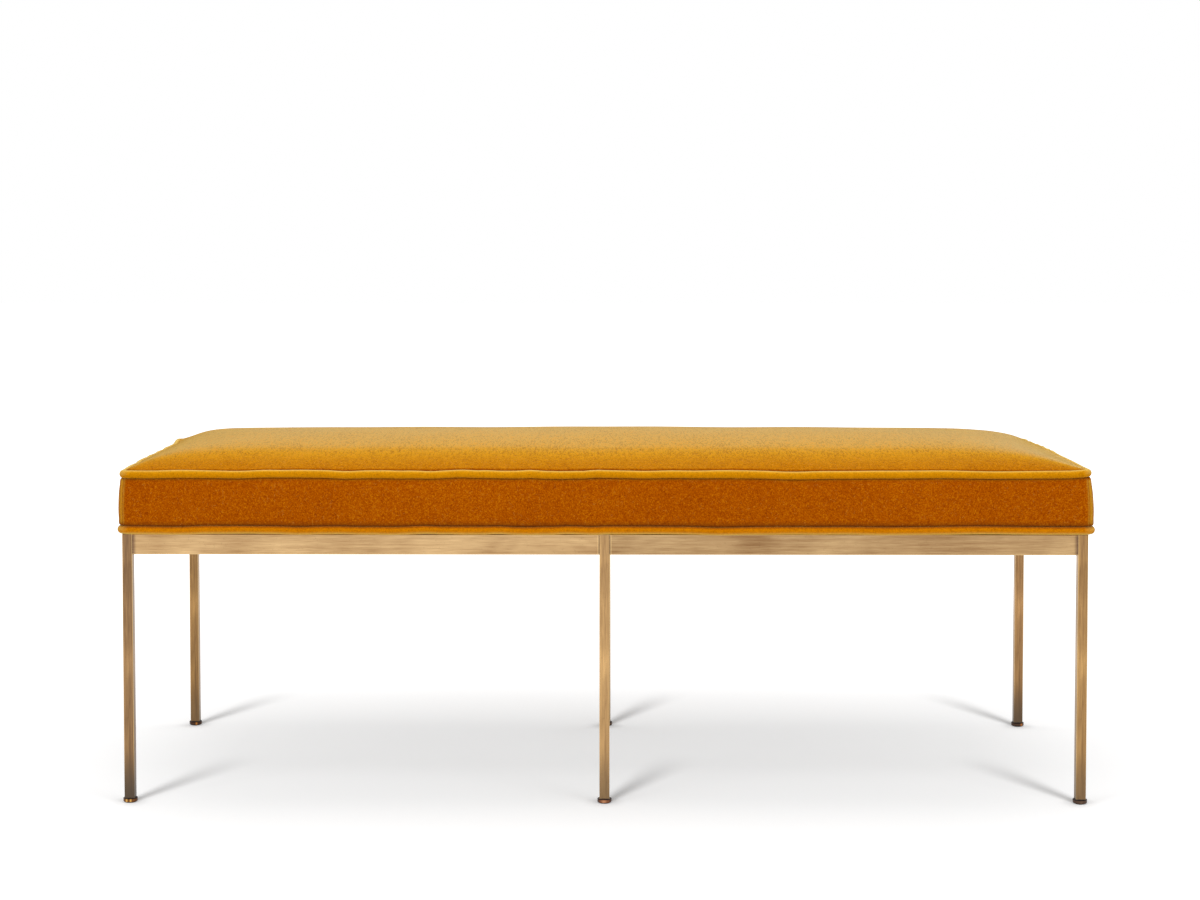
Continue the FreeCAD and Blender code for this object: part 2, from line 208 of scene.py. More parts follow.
class Shader:
    """The nodes of one material or of the world, with the methods that add them."""

    def __init__(self, owner: Union[bpy.types.Material, bpy.types.World]) -> None:
        """Take a material or a world and clear its nodes.

        Args:
            owner: The material or the world.
        """
        self.owner = owner
        self.owner.use_nodes = True
        self.tree = self.owner.node_tree
        self.tree.nodes.clear()

    @classmethod
    def named(cls, name: str) -> "Shader":
        """Start a new material of the given name."""
        return cls(bpy.data.materials.new(name))

    def node(
        self,
        kind: str,
        settings: Optional[dict] = None,
        sockets: Optional[dict] = None,
        output: Union[int, str] = 0,
    ) -> Value:
        """Add a node, apply its settings and then fill its sockets.

        Args:
            kind: The node's type.
            settings: The node's own settings.
            sockets: Values, colours or links, by socket name or number.
            output: The output to hand back.

        Returns:
            The chosen output.
        """
        made = self.tree.nodes.new(kind)
        for key, value in (settings or {}).items():
            setattr(made, key, value)
        for key, value in (sockets or {}).items():
            socket = made.inputs[key]
            if isinstance(value, Value):
                self.tree.links.new(value.socket, socket)
            elif isinstance(value, tuple) and len(value) == 3 and socket.type == "RGBA":
                socket.default_value = (*value, 1.0)
            else:
                socket.default_value = value
        return Value(self, made.outputs[output] if made.outputs else None)

    def math(self, operation: str, *values: Number) -> Value:
        """Add one Math node for an operation on numbers."""
        return self.node("ShaderNodeMath", {"operation": operation}, dict(enumerate(values)))

    def place(self, centre: Point = (0.0, 0.0, 0.0), scale: Point = (1.0, 1.0, 1.0)) -> Value:
        """The place on the object, from a centre and stretched.

        Args:
            centre: The point that becomes the origin.
            scale: The stretch along each axis.

        Returns:
            The place as a vector.
        """
        coordinates = self.node("ShaderNodeTexCoord", output="Object")
        shift = tuple(-c * s for c, s in zip(centre, scale))
        sockets = {"Vector": coordinates, "Location": shift, "Scale": scale}
        return self.node("ShaderNodeMapping", {}, sockets)

    def axes(self, vector: Value) -> Tuple[Value, Value, Value]:
        """The three parts of a vector.

        Args:
            vector: The vector.

        Returns:
            Its x, y and z.
        """
        split = self.node("ShaderNodeSeparateXYZ", {}, {0: vector}).socket.node
        return tuple(Value(self, output) for output in split.outputs)

    def noise(
        self,
        vector: Value,
        scale: float,
        detail: float = 3.0,
        roughness: float = 0.5,
        distortion: float = 0.0,
    ) -> Value:
        """Smooth noise, from about 0.25 to 0.75.

        Args:
            vector: Where it is read.
            scale: How many patches fit into a metre.
            detail: How many finer layers it has.
            roughness: How strong the finer layers are.
            distortion: How much it is pulled about.

        Returns:
            The noise.
        """
        sockets = {"Vector": vector, "Scale": scale, "Detail": detail}
        sockets.update({"Roughness": roughness, "Distortion": distortion})
        return self.node("ShaderNodeTexNoise", {}, sockets)

    def attribute(self, name: str) -> Value:
        """A number that is stored on the piece's points."""
        return self.node("ShaderNodeAttribute", {"attribute_name": name}, output="Fac")

    def mix(
        self,
        factor: Number,
        first: Union[Colour, Value],
        second: Union[Colour, Value],
        blend: str = "MIX",
    ) -> Value:
        """Mix two colours.

        Args:
            factor: The share of the second colour.
            first: The first colour.
            second: The second colour.
            blend: How the second colour is laid on.

        Returns:
            The mixed colour.
        """
        settings = {"data_type": "RGBA", "blend_type": blend, "clamp_factor": True}
        pair = [(*c, 1.0) if isinstance(c, tuple) else c for c in (first, second)]
        return self.node("ShaderNodeMix", settings, {0: factor, 6: pair[0], 7: pair[1]}, output=2)

    def bump(
        self, height: Value, strength: float, distance: float, under: Optional[Value] = None
    ) -> Value:
        """A bumped normal.

        Args:
            height: The relief.
            strength: How strong it is, from 0 to 1.
            distance: How deep it is, in metres.
            under: A coarser bump below it.

        Returns:
            The normal.
        """
        sockets = {"Height": height, "Strength": strength, "Distance": distance}
        if under is not None:
            sockets["Normal"] = under
        return self.node("ShaderNodeBump", {}, sockets)

    def finish(self, sockets: dict) -> bpy.types.Material:
        """Close the material with one Principled shader.

        Args:
            sockets: The shader's values and links.

        Returns:
            The finished material.
        """
        surface = self.node("ShaderNodeBsdfPrincipled", {}, sockets, output="BSDF")
        self.node("ShaderNodeOutputMaterial", {}, {"Surface": surface})
        return self.owner


@dataclass(frozen=True)
class AgedBrass:
    """Antiqued brass on a bar or tube, brushed along its length, darker at its joints, and lighter
    along its edges from wear and a painted highlight.
    """

    name: str
    grain: Grain
    centre: Point
    light: Colour
    dark: Colour
    age: float = 0.5
    roughness: float = 0.34
    low: float = 0.0
    spotted: Colour = srgb(88, 62, 42)
    heated: Colour = srgb(92, 66, 56)
    # The colour of the polished line by the middle joint and of the long edges, lighter from wear
    # and from a painted highlight
    rub_and_edge_highlight: Colour = srgb(236, 200, 140)
    shaded: Colour = srgb(84, 74, 64)
    shaded_from: float = 80 * MM
    shaded_to: float = 10 * MM
    leg_edge: Pair = (5.3 * MM, 6.2 * MM)
    rail_edge: Pair = (11.3 * MM, 12.5 * MM)
    rail_slimmer: float = 6.65 * MM
    leg_joint: Pair = (310 * MM, 316 * MM)
    gap_width: Pair = (6 * MM, 0.5 * MM)
    cut_place: float = 0.3 * MM
    cut_width: Pair = (1.3 * MM, 0.4 * MM)
    rub_place: float = 1.7 * MM
    rub_width: Pair = (0.9 * MM, 0.2 * MM)

    def material(self) -> bpy.types.Material:
        """Build the material.

        Returns:
            The material.
        """
        shader = Shader.named(self.name)
        place = shader.place(self.centre)
        streaked = shader.place(self.centre, self.grain.value)
        x, y, z = shader.axes(place)
        fine = shader.noise(streaked, 1500.0, 3.0, 0.6)
        broad = shader.noise(streaked, 420.0, 2.0, 0.55)
        cloud = shader.noise(shader.place(self.centre, self.drift()), 20.0, 3.0, 0.55, 0.4)
        spots = shader.noise(place, 420.0, 2.0, 0.5)
        old = (broad - 0.5) * 0.8 + (cloud - 0.5) * 1.3 + (fine - 0.5) * 0.9 + self.age
        old = old.least(1.0).most(0.0)
        edge = self.edge(x, y, z)
        joint = self.joint(shader)
        # The long edges are made lighter: partly wear, partly a painted highlight where their
        # rounded corners catch the light
        edge_wear_and_highlight = edge * (0.45 + cloud)
        colour = shader.mix(old, self.light, self.dark)
        colour = shader.mix(spots.rise(0.64, 0.74) * 0.18, colour, self.spotted)
        colour = shader.mix(joint * (0.4 + cloud * 0.7), colour, self.heated)
        bright = (edge_wear_and_highlight * 0.7 + self.polished(shader) * 0.5).least(0.9)
        colour = shader.mix(bright, colour, self.rub_and_edge_highlight)
        if self.low:
            height = shader.axes(shader.place())[2]
            shade = height.rise(self.shaded_from, self.shaded_to) * self.low
            colour = shader.mix(shade, colour, self.shaded)
        rough = self.roughness + (cloud - 0.5) * 0.25 + (fine - 0.5) * 0.2
        rough = rough + joint * 0.15 - edge_wear_and_highlight * 0.08
        return shader.finish({
            "Base Color": colour,
            "Metallic": 1.0,
            "Roughness": rough.least(0.8).most(0.16),
            "Normal": shader.bump(fine, 0.12, 0.12 * MM),
        })

    def drift(self) -> Point:
        """The stretch of the broad clouds in the patina, less drawn out than the streaks."""
        return tuple(0.4 if part < 1 else 1.0 for part in self.grain.value)

    def edge(self, x: Value, y: Value, z: Value) -> Value:
        """Where the long edges of the bar are, from 0 to 1.

        Args:
            x: The place along x from the bar's centre.
            y: The place along y.
            z: The place along z.

        Returns:
            The mask.
        """
        if self.grain is Grain.ALONG_Z:
            return abs(x).least(abs(y)).rise(*self.leg_edge)
        across = abs(y) if self.grain is Grain.ALONG_X else abs(x)
        return (across + self.rail_slimmer).least(abs(z)).rise(*self.rail_edge)

    def joint(self, shader: Shader) -> Value:
        """Where the bar meets another one, from 0 to 1.

        Args:
            shader: The material that is being built.

        Returns:
            The mask.
        """
        x, y, z = shader.axes(shader.place())
        if self.grain is Grain.ALONG_Z:
            return z.rise(*self.leg_joint) * 0.12
        along = abs(x) if self.grain is Grain.ALONG_X else abs(y)
        reach = LEG_X if self.grain is Grain.ALONG_X else LEG_Y
        gap = abs(along - (reach - LEG_HALF)).rise(*self.gap_width)
        if self.grain is Grain.ALONG_X:
            gap = gap.most(abs(along - LEG_HALF - self.cut_place).rise(*self.cut_width))
        return gap

    def polished(self, shader: Shader) -> Number:
        """Where a rail is polished bright beside its joint with the middle leg.

        Args:
            shader: The material that is being built.

        Returns:
            The mask, from 0 to 1.
        """
        if self.grain is not Grain.ALONG_X:
            return 0.0
        x, _, _ = shader.axes(shader.place())
        return abs(abs(x) - LEG_HALF - self.rub_place).rise(*self.rub_width)


@dataclass(frozen=True)
class PlainMetal:
    """A small metal or plastic piece with fine marks of turning and handling."""

    name: str
    colour: Colour
    metallic: float
    roughness: float
    fleck: float = 0.25

    def material(self) -> bpy.types.Material:
        """Build the material.

        Returns:
            The material.
        """
        shader = Shader.named(self.name)
        place = shader.place()
        cloud = shader.noise(place, 160.0, 3.0, 0.6)
        fine = shader.noise(place, 1500.0, 2.0, 0.5)
        dark = tuple(c * 0.45 for c in self.colour)
        colour = shader.mix((cloud - 0.35) * 2.0 * self.fleck, self.colour, dark)
        rough = self.roughness + (fine - 0.5) * 0.2 + (cloud - 0.5) * 0.15
        return shader.finish({
            "Base Color": colour,
            "Metallic": self.metallic,
            "Roughness": rough.least(0.95).most(0.1),
            "Normal": shader.bump(fine, 0.15, 0.1 * MM),
        })


@dataclass(frozen=True)
class Plywood:
    """Birch plywood: pale faces with long grain, and plies on the edges."""

    name: str = "deck_plywood_scene"
    pale: Colour = srgb(214, 184, 140)
    veined: Colour = srgb(186, 148, 104)
    end_grain: Colour = srgb(150, 108, 70)
    plies: float = 460.0

    def material(self) -> bpy.types.Material:
        """Build the material.

        Returns:
            The material.
        """
        shader = Shader.named(self.name)
        grain = shader.noise(shader.place(scale=(0.08, 1.0, 0.2)), 220.0, 4.0, 0.6, 1.2)
        _, _, z = shader.axes(shader.place())
        ply = shader.math("FRACT", z * self.plies).rise(0.42, 0.58)
        colour = shader.mix(grain.rise(0.35, 0.7), self.pale, self.veined)
        return shader.finish({
            "Base Color": shader.mix(ply * 0.35, colour, self.end_grain),
            "Roughness": 0.6 + (grain - 0.5) * 0.3,
            "Normal": shader.bump(grain, 0.2, 0.3 * MM),
        })


@dataclass(frozen=True)
class Velvet:
    """Mohair velvet with a short pile and painted sheen: deep on upright faces, golden where it
    faces up, paler where it leans back.
    """

    name: str
    # Painted sheen: upright faces, faces turned up and faces that lean back each take their own
    # colour
    side: Colour
    top: Colour
    painted_sheen_crest: Colour
    pale: Colour
    # The colour of painted sheen highlights along the welts and beside the corner seams
    painted_sheen_ridge: Colour
    mottle: float = 1.0
    # A pale painted sheen on level faces that lean back
    painted_sheen_haze: Colour = srgb(255, 214, 158)
    shade: Colour = (0.5, 0.33, 0.2)
    # The colour of painted shade in the seams
    seam_shade_colour: Colour = (0.12, 0.04, 0.005)
    tint: Colour = (1.0, 0.8, 0.32)
    tufts_per_metre: float = 300.0
    hairs_per_metre: float = 650.0

    def material(self) -> bpy.types.Material:
        """Build the material.

        Returns:
            The material.
        """
        shader = Shader.named(self.name)
        place = shader.place()
        brushed = shader.place(scale=(1.0, 0.2, 1.0))
        normal = shader.node("ShaderNodeNewGeometry", output="Normal")
        aside, ahead, level = shader.axes(normal)
        # Painted sheen: the top colour where faces turn up, a brighter colour where they lean
        # back, and a pale haze on level faces that lean back
        up = level.rise(0.25, 0.9)
        painted_sheen_mask = (ahead + aside * 0.5).rise(-0.58, 0.05) * level.rise(0.75, 0.92)
        flat = level.rise(0.92, 0.998)
        drift = shader.noise(place, 9.0, 2.0, 0.5, 0.3)
        patches = shader.noise(place, 75.0, 3.0, 0.6, 0.5)
        tufts = self.nap(shader, flat, place, brushed, self.tufts_per_metre)
        pile = self.nap(shader, flat, place, brushed, self.hairs_per_metre)
        colour = shader.mix(up, self.side, self.top)
        colour = shader.mix(painted_sheen_mask, colour, self.painted_sheen_crest)
        painted_sheen_haze = (ahead + aside * 0.4).rise(-0.22, 0.14) * level.rise(0.93, 0.985)
        colour = shader.mix(painted_sheen_haze * 0.68, colour, self.painted_sheen_haze)
        tone = (drift - 0.5) * 0.25 + (patches - 0.5) * 0.3
        tone = tone + (tufts - 0.5) * 1.3 + (pile - 0.5) * 2.4
        tone = tone * self.mottle * (1.25 + flat * 1.5)
        dark = (0.22 - tone).least(0.9).most(0.0) * (1.0 - flat * 0.15)
        colour = shader.mix(dark, colour, self.shade, "MULTIPLY")
        colour = shader.mix((tone - 0.1).least(0.7).most(0.0), colour, self.pale)
        # Painted sheen highlights from one stored number, and painted shade in the seams from
        # another
        painted_sheen_ridge = shader.attribute("painted_sheen_ridge")
        colour = shader.mix((painted_sheen_ridge * (0.55 + tufts * 0.8)).least(1.0), colour, self.painted_sheen_ridge)
        colour = shader.mix(shader.attribute("painted_seam_shade") * 0.8, colour, self.seam_shade_colour)
        relief = shader.bump(patches, 0.15, 0.8 * MM)
        relief = shader.bump(tufts, 0.5, 0.9 * MM, relief)
        relief = shader.bump(pile, 0.9, 0.6 * MM, relief)
        return shader.finish({
            "Base Color": colour,
            "Roughness": 0.9 + (tufts - 0.5) * 0.15,
            "Specular IOR Level": 0.0,
            "Sheen Weight": 0.95,
            "Sheen Roughness": 0.28,
            "Sheen Tint": self.tint,
            "Normal": relief,
        })

    @staticmethod
    def nap(shader: Shader, flat: Value, place: Value, brushed: Value, scale: float) -> Value:
        """Noise that is even on upright faces, and drawn out front to back on level ones.

        Args:
            shader: The material that is being built.
            flat: How level a face is.
            place: The place on the object.
            brushed: The place, drawn out from front to back.
            scale: How many tufts fit into a metre.

        Returns:
            The noise.
        """
        upright = shader.noise(place, scale, 3.0, 0.7, 0.6)
        level = shader.noise(brushed, scale, 3.0, 0.7, 0.6)
        return upright * (1.0 - flat) + level * flat


@dataclass(frozen=True)
class DustCloth:
    """Thin black cloth with a plain weave."""

    name: str = "dust_cloth_scene"
    thread: float = 4200.0
    deep: Colour = srgb(22, 21, 22)
    raised: Colour = srgb(48, 46, 46)
    lint: Colour = srgb(96, 92, 88)

    def material(self) -> bpy.types.Material:
        """Build the material.

        Returns:
            The material.
        """
        shader = Shader.named(self.name)
        x, y, _ = shader.axes(shader.place())
        weave = shader.math("SINE", x * self.thread) * shader.math("SINE", y * self.thread)
        lint = shader.noise(shader.place(), 90.0, 4.0, 0.6)
        colour = shader.mix(weave * 0.5 + 0.5, self.deep, self.raised)
        return shader.finish({
            "Base Color": shader.mix(lint.rise(0.6, 0.75) * 0.3, colour, self.lint),
            "Roughness": 0.85,
            "Normal": shader.bump(weave, 0.3, 0.2 * MM),
        })


def dress(obj: bpy.types.Object, material: bpy.types.Material) -> None:
    """Give an object one material.

    Args:
        obj: The object.
        material: The material.
    """
    obj.data.materials.clear()
    obj.data.materials.append(material)


def mesh_object(
    name: str, points: np.ndarray, faces: Sequence[Sequence[int]]
) -> bpy.types.Object:
    """Make a smooth mesh object at the origin.

    Args:
        name: The object's name.
        points: The vertices, in metres.
        faces: Each face's vertices.

    Returns:
        The object.
    """
    mesh = bpy.data.meshes.new(name)
    mesh.from_pydata([tuple(p) for p in points], [], [tuple(f) for f in faces])
    mesh.validate()
    made = bpy.data.objects.new(name, mesh)
    bpy.context.scene.collection.objects.link(made)
    mesh.polygons.foreach_set("use_smooth", [True] * len(mesh.polygons))
    return made


def band(low: int, high: int, count: int) -> List[List[int]]:
    """The faces between two rings of points.

    Args:
        low: The number of the lower ring's first point.
        high: The number of the upper ring's first point.
        count: How many points a ring has.

    Returns:
        Each face's points.
    """
    faces = []
    for i in range(count):
        j = (i + 1) % count
        faces.append([low + i, low + j, high + j, high + i])
    return faces


def paint(obj: bpy.types.Object, name: str, values: np.ndarray) -> None:
    """Store one number a vertex for a material to read.

    Args:
        obj: The object.
        name: The attribute's name.
        values: The numbers.
    """
    layer = obj.data.attributes.new(name, "FLOAT", "POINT")
    layer.data.foreach_set("value", values.astype(np.float32))


def select_only(obj: bpy.types.Object) -> None:
    """Deselect all, then select one object and make it active.

    Args:
        obj: The object.
    """
    bpy.ops.object.select_all(action="DESELECT")
    obj.select_set(True)
    bpy.context.view_layer.objects.active = obj


def settle(name: str) -> bpy.types.Object:
    """Name the primitive that was added last, and move its place and size into its mesh.

    Args:
        name: The new object's name.

    Returns:
        The object.
    """
    made = bpy.context.object
    made.name = name
    bpy.ops.object.transform_apply(location=True, rotation=True, scale=True)
    return made


def add_rod(name: str, diameter: float, length: float, middle: Point) -> bpy.types.Object:
    """Add an upright rod of 24 sides.

    Args:
        name: The rod's name.
        diameter: Its diameter.
        length: Its length.
        middle: Its middle.

    Returns:
        The rod.
    """
    bpy.ops.object.select_all(action="DESELECT")
    bpy.ops.mesh.primitive_cylinder_add(
        vertices=24, radius=diameter / 2, depth=length, location=middle
    )
    return settle(name)


def apply_modifier(obj: bpy.types.Object, modifier: bpy.types.Modifier) -> None:
    """Apply a modifier to its object's mesh."""
    select_only(obj)
    bpy.ops.object.modifier_apply(modifier=modifier.name)


@dataclass(frozen=True)
class Ring:
    """The level outline of the seat: a rectangle with rounded corners, set out in points."""

    along: int = 128
    across: int = 46
    turn: Tuple[float, ...] = (0.0, 0.12, 0.22, 0.3, 0.36, 0.42, 0.5, 0.58, 0.64, 0.7, 0.78, 0.88)

    @property
    def count(self) -> int:
        """How many points the outline has."""
        return 2 * (self.along + self.across + 2 * len(self.turn))

    def points(
        self, half_x: float, half_y: float, radius: float
    ) -> Tuple[np.ndarray, np.ndarray]:
        """Set out the points, counter-clockwise from the left end of the front.

        Args:
            half_x: Half the length.
            half_y: Half the depth.
            radius: The corners' radius.

        Returns:
            The points and their outward normals.
        """
        places: List[Pair] = []
        normals: List[Pair] = []
        flat_x, flat_y = half_x - radius, half_y - radius
        starts = ((-flat_x, -half_y), (half_x, -flat_y), (flat_x, half_y), (-half_x, flat_y))
        centres = ((flat_x, -flat_y), (flat_x, flat_y), (-flat_x, flat_y), (-flat_x, -flat_y))
        for side, (start, centre) in enumerate(zip(starts, centres)):
            angle = math.radians(90 * side)
            run = (math.cos(angle), math.sin(angle))
            out = (math.sin(angle), -math.cos(angle))
            long_side = side % 2 == 0
            count, length = (self.along, 2 * flat_x) if long_side else (self.across, 2 * flat_y)
            for step in range(count):
                part = length * step / count
                places.append((start[0] + run[0] * part, start[1] + run[1] * part))
                normals.append(out)
            for share in self.turn:
                turned = angle - math.pi / 2 + share * math.pi / 2
                way = (math.cos(turned), math.sin(turned))
                places.append((centre[0] + way[0] * radius, centre[1] + way[1] * radius))
                normals.append(way)
        return np.array(places), np.array(normals)

    def corners(self) -> List[int]:
        """The numbers of the points at the corners' middles, from the front right one on.

        Returns:
            Four numbers.
        """
        half = len(self.turn) // 2
        first = self.along + half
        second = first + self.across + len(self.turn)
        third = second + self.along + len(self.turn)
        return [first, second, third, third + self.across + len(self.turn)]


@dataclass
class SeatShape:
    """The shape that the cushion and its welts share, in metres."""

    low_x: float = 608.9 * MM
    low_y: float = 223.1 * MM
    low_z: float = 347.6 * MM
    rise: float = 68.0 * MM
    inset: float = 3.5 * MM
    welt: float = 5.1 * MM
    corner: float = 11.0 * MM
    bulge: float = 5.2 * MM
    shift: float = 1.0 * MM
    least_corner: float = 3.0 * MM
    ear_place: float = 158 * MM
    ear_lift_mm: float = 2.6
    ear_push_mm: float = 3.0
    end_bow: float = 1.9 * MM
    front_corner: Tuple[float, float, float] = (222 * MM, 30 * MM, 1.6 * MM)
    rear_corner: Tuple[float, float, float] = (195 * MM, 45 * MM, 1.7 * MM)
    ring: Ring = field(default_factory=Ring)

    def wander(self, places: np.ndarray, seed: float, size: float) -> np.ndarray:
        """A slow, uneven wander along a seam.

        Args:
            places: The points round the seam.
            seed: A number that makes each seam's wander its own.
            size: How far it goes to either side.

        Returns:
            The wander at each point.
        """
        x, y = places[:, 0], places[:, 1]
        turn = np.arctan2(y * 2.7, x)
        run = x * np.abs(np.sin(turn)) + y * 1.3 * np.abs(np.cos(turn)) + turn * 0.21
        total = np.sin(run * 43.0 + seed) * 0.45 + np.sin(run * 79.0 + seed * 2.3) * 0.25
        total = total + np.sin(run * 19.0 + seed * 1.7) * 0.4 + np.sin(run * 131.0 + seed) * 0.12
        return size * total

    def ear(self, places: np.ndarray) -> np.ndarray:
        """How near each point is to the lump in the top welt, near the rear left corner."""
        side = hump(places[:, 0] + self.low_x - self.inset, 16 * MM)
        return side * hump(places[:, 1] - self.ear_place, 30 * MM)

    def top_lift(self, places: np.ndarray) -> np.ndarray:
        """How far the top seam stands up or down: its wander, its lump, and its bow on the ends.

        Args:
            places: The points round the seam.

        Returns:
            The lift at each point.
        """
        right = places[:, 0] > 0
        end = hump(np.abs(places[:, 0]) - self.low_x + self.inset, 14 * MM)
        bow = end * np.clip(1 - (places[:, 1] / (self.low_y - 6 * MM)) ** 4, 0, 1)
        bow = bow * (self.end_bow - 0.011 * np.clip(places[:, 1], 0, 1) * right)
        front, front_width, front_lift = self.front_corner
        rear, rear_width, rear_drop = self.rear_corner
        corner = hump(places[:, 1] + front, front_width) * front_lift
        corner = corner - hump(places[:, 1] - rear, rear_width) * rear_drop
        wander = self.wander(places, 4.1, 1.0 * MM)
        corner = corner * end * right
        return wander + self.ear(places) * self.ear_lift_mm * MM + bow + corner

    def top_push(self, places: np.ndarray) -> np.ndarray:
        """How far the top seam wanders out or in."""
        return self.wander(places, 6.2, 0.7 * MM) + self.ear(places) * self.ear_push_mm * MM

    def seam(self, share: float, out: float, up: float) -> np.ndarray:
        """Points that run beside the low seam (share 0), the top seam (share 1) or between them.

        Args:
            share: How far up from the low seam.
            out: The distance outwards from the seam's line.
            up: The distance above it.

        Returns:
            The points.
        """
        half_x = self.low_x - self.inset * share + out
        half_y = self.low_y - self.inset * share + out
        radius = max(self.corner - self.inset * share + out, self.least_corner)
        flat, normals = self.ring.points(half_x, half_y, radius)
        near_low, near_top = (1 - share) ** 2, share**2
        low_lift = self.wander(flat, 1.0, 0.8 * MM) - 1.1 * MM
        top_lift = self.top_lift(flat)
        lift = low_lift * near_low + top_lift * near_top
        low_push = self.wander(flat, 4.0, 0.6 * MM)
        right = np.clip((flat[:, 0] - self.low_x + 12 * MM) / (8 * MM), 0, 1)
        top_push = self.top_push(flat) - right * 0.8 * MM
        push = low_push * near_low + top_push * near_top
        moved = flat + normals * push[:, None]
        moved[:, 0] += self.shift
        return np.column_stack([moved, self.low_z + self.rise * share + up + lift])


# The cover's sewn rings: how far out and up from the seam in mm, whether held, and how much
# painted seam shade
LOW_RINGS = (
    (-8.3, 8.5, True, 0.0),
    (-8.3, -4.2, True, 0.0),
    (-5.0, -4.4, True, 0.5),
    (-3.2, 0.0, True, 1.0),
    (-0.8, 3.6, True, 1.0),
    (2.0, 5.0, True, 0.9),
    (3.7, 6.2, False, 0.6),
)
TOP_RINGS = (
    (3.9, -6.0, False, 0.35),
    (2.2, -4.8, True, 0.9),
    (-0.8, -3.6, True, 1.0),
    (-3.4, 0.0, True, 1.0),
)


@dataclass
class Cushion:
    """The seat cushion: a foam block under batting and a velvet cover, crowned and boxed."""

    shape: SeatShape = field(default_factory=SeatShape)
    edge: float = 6.0 * MM
    shoulder: float = 12.2 * MM
    shoulder_width: float = 86.0 * MM
    end_pace: Pair = (1.1, 0.6)
    crown: float = 15.2 * MM
    droop: float = 1.6 * MM
    cap: float = 1.0 * MM
    pressure: float = 4.0
    steps: int = 20
    evening: int = 40
    side_shares: Sequence[float] = (
        0.13, 0.18, 0.25, 0.33, 0.42, 0.5, 0.58, 0.67, 0.75, 0.82, 0.87,
    )
    top_insets: Sequence[float] = (
        3.0, 5.0, 8.0, 12.0, 17.0, 23.0, 30.0, 38.0, 46.0, 53.0, 60.0,
    )
    side_least: float = 4.1 * MM
    groove_depth: float = 1.5
    groove_lip: float = 0.45
    boxed_from: float = 353 * MM
    boxed_to: float = 411 * MM
    rings: List[np.ndarray] = field(default_factory=list)
    held: List[int] = field(default_factory=list)
    seam_shade: List[float] = field(default_factory=list)

    def height(self, flat: np.ndarray) -> np.ndarray:
        """How high the top stands over the top seam.

        Args:
            flat: Points in plan, from the cushion's centre.

        Returns:
            The height at each point.
        """
        half_x = self.shape.low_x - self.shape.inset
        half_y = self.shape.low_y - self.shape.inset
        to_end = np.maximum(half_x - np.abs(flat[..., 0]), 0.05 * MM)
        to_side = np.maximum(half_y - np.abs(flat[..., 1]), 0.05 * MM)
        share = 0.5 + 0.5 * np.tanh(flat[..., 0] / 0.25)
        pace = self.end_pace[0] * (1 - share) + self.end_pace[1] * share
        inset = ((to_end * pace) ** -4 + to_side**-4) ** -0.25
        middle = ((to_end * (0.8 + 0.3 * pace)) ** -4 + to_side**-4) ** -0.25
        swell = 1 - np.clip((inset - 2 * MM) / self.shoulder_width, 0, 1)
        arch = 1 - np.clip(middle / half_y, 0, 1)
        rise = self.edge + self.shoulder * (1 - swell**3) + self.crown * (1 - arch**2)
        return rise - self.droop * (flat[..., 0] / 0.6) ** 2

    def dents(self, flat: np.ndarray) -> np.ndarray:
        """Slight hollows and swells in the top, as foam and batting settle.

        Args:
            flat: Points in plan.

        Returns:
            The lift at each point.
        """
        x, y = flat[..., 0], flat[..., 1]
        total = np.sin(x * 9.0 + 1.3) * np.sin(y * 14.0 + 0.6) + 0.6 * np.sin(x * 21.0 + y * 11.0)
        return 0.45 * MM * (total + 0.4 * np.sin(x * 37.0 - y * 29.0 + 2.0))

    def add_ring(self, points: np.ndarray, held: bool = False, seam_shade: float = 0.0) -> None:
        """Keep a ring of points.

        Args:
            points: The points.
            held: Whether the ring is sewn down.
            seam_shade: How much painted shade it gets from lying in a seam, from 0 to 1.
        """
        self.rings.append(points)
        self.held.append(int(held))
        self.seam_shade.append(seam_shade)

    def side_rings(self) -> None:
        """The rings from the deck, down round its edge and up the boxing to the top seam."""
        shape = self.shape
        for out, up, held, seam_shade in LOW_RINGS:
            self.add_ring(shape.seam(0, out * MM, up * MM), held, seam_shade)
        for share in self.side_shares:
            swell = max(shape.bulge * (1 - abs(2 * share - 1) ** 3.2), self.side_least)
            # Rings just above the low seam get a little painted seam shade
            self.add_ring(shape.seam(share, swell, 0.0), False, 0.3 if share < 0.15 else 0.0)
        for out, up, held, seam_shade in TOP_RINGS:
            self.add_ring(shape.seam(1, out * MM, up * MM), held, seam_shade)

    def groove(self) -> None:
        """Press the upright corner seams into the boxing."""
        ring = self.shape.ring
        half = len(ring.turn) // 2
        for points in self.rings[len(LOW_RINGS) - 1:]:
            for middle, lean in zip(ring.corners(), (-2, 2, -2, 2)):
                middle += lean
                centre = points[middle].copy()
                for step in range(-half, half + 1):
                    number = (middle + step) % ring.count
                    gap = np.linalg.norm(points[number] - centre) / MM
                    depth = self.groove_depth * math.exp(-((gap / 0.8) ** 2))
                    depth -= self.groove_lip * math.exp(-(((gap - 2.2) / 1.2) ** 2))
                    inwards = -np.sign(centre[:2]) * np.array(CORNER_WAY)
                    points[number, :2] += inwards * depth * MM

    def top_rings(self) -> None:
        """The rings from the top seam over the shoulder."""
        shape = self.shape
        self.add_ring(shape.seam(1, -2.4 * MM, 3.8 * MM), True, 0.8)
        half_x, half_y = shape.low_x - shape.inset, shape.low_y - shape.inset
        for inset in self.top_insets:
            step = inset * MM
            radius = 8.0 * MM * math.exp(-inset / 15) + 0.646 * step
            far = step * (1 + 0.5 * (1 - math.exp(-inset / 20)))
            flat, normals = shape.ring.points(half_x - far, half_y - step, radius)
            fade = math.exp(-inset / 14)
            level = shape.low_z + shape.rise + self.height(flat) + self.dents(flat) * (1 - fade)
            lift = level + shape.top_lift(flat) * fade
            push = shape.top_push(flat) * fade
            moved = flat + normals * push[:, None]
            moved[:, 0] += shape.shift
            # Rings just inside the top seam get a little painted seam shade
            self.add_ring(np.column_stack([moved, lift]), False, 0.3 if inset < 4 else 0.0)

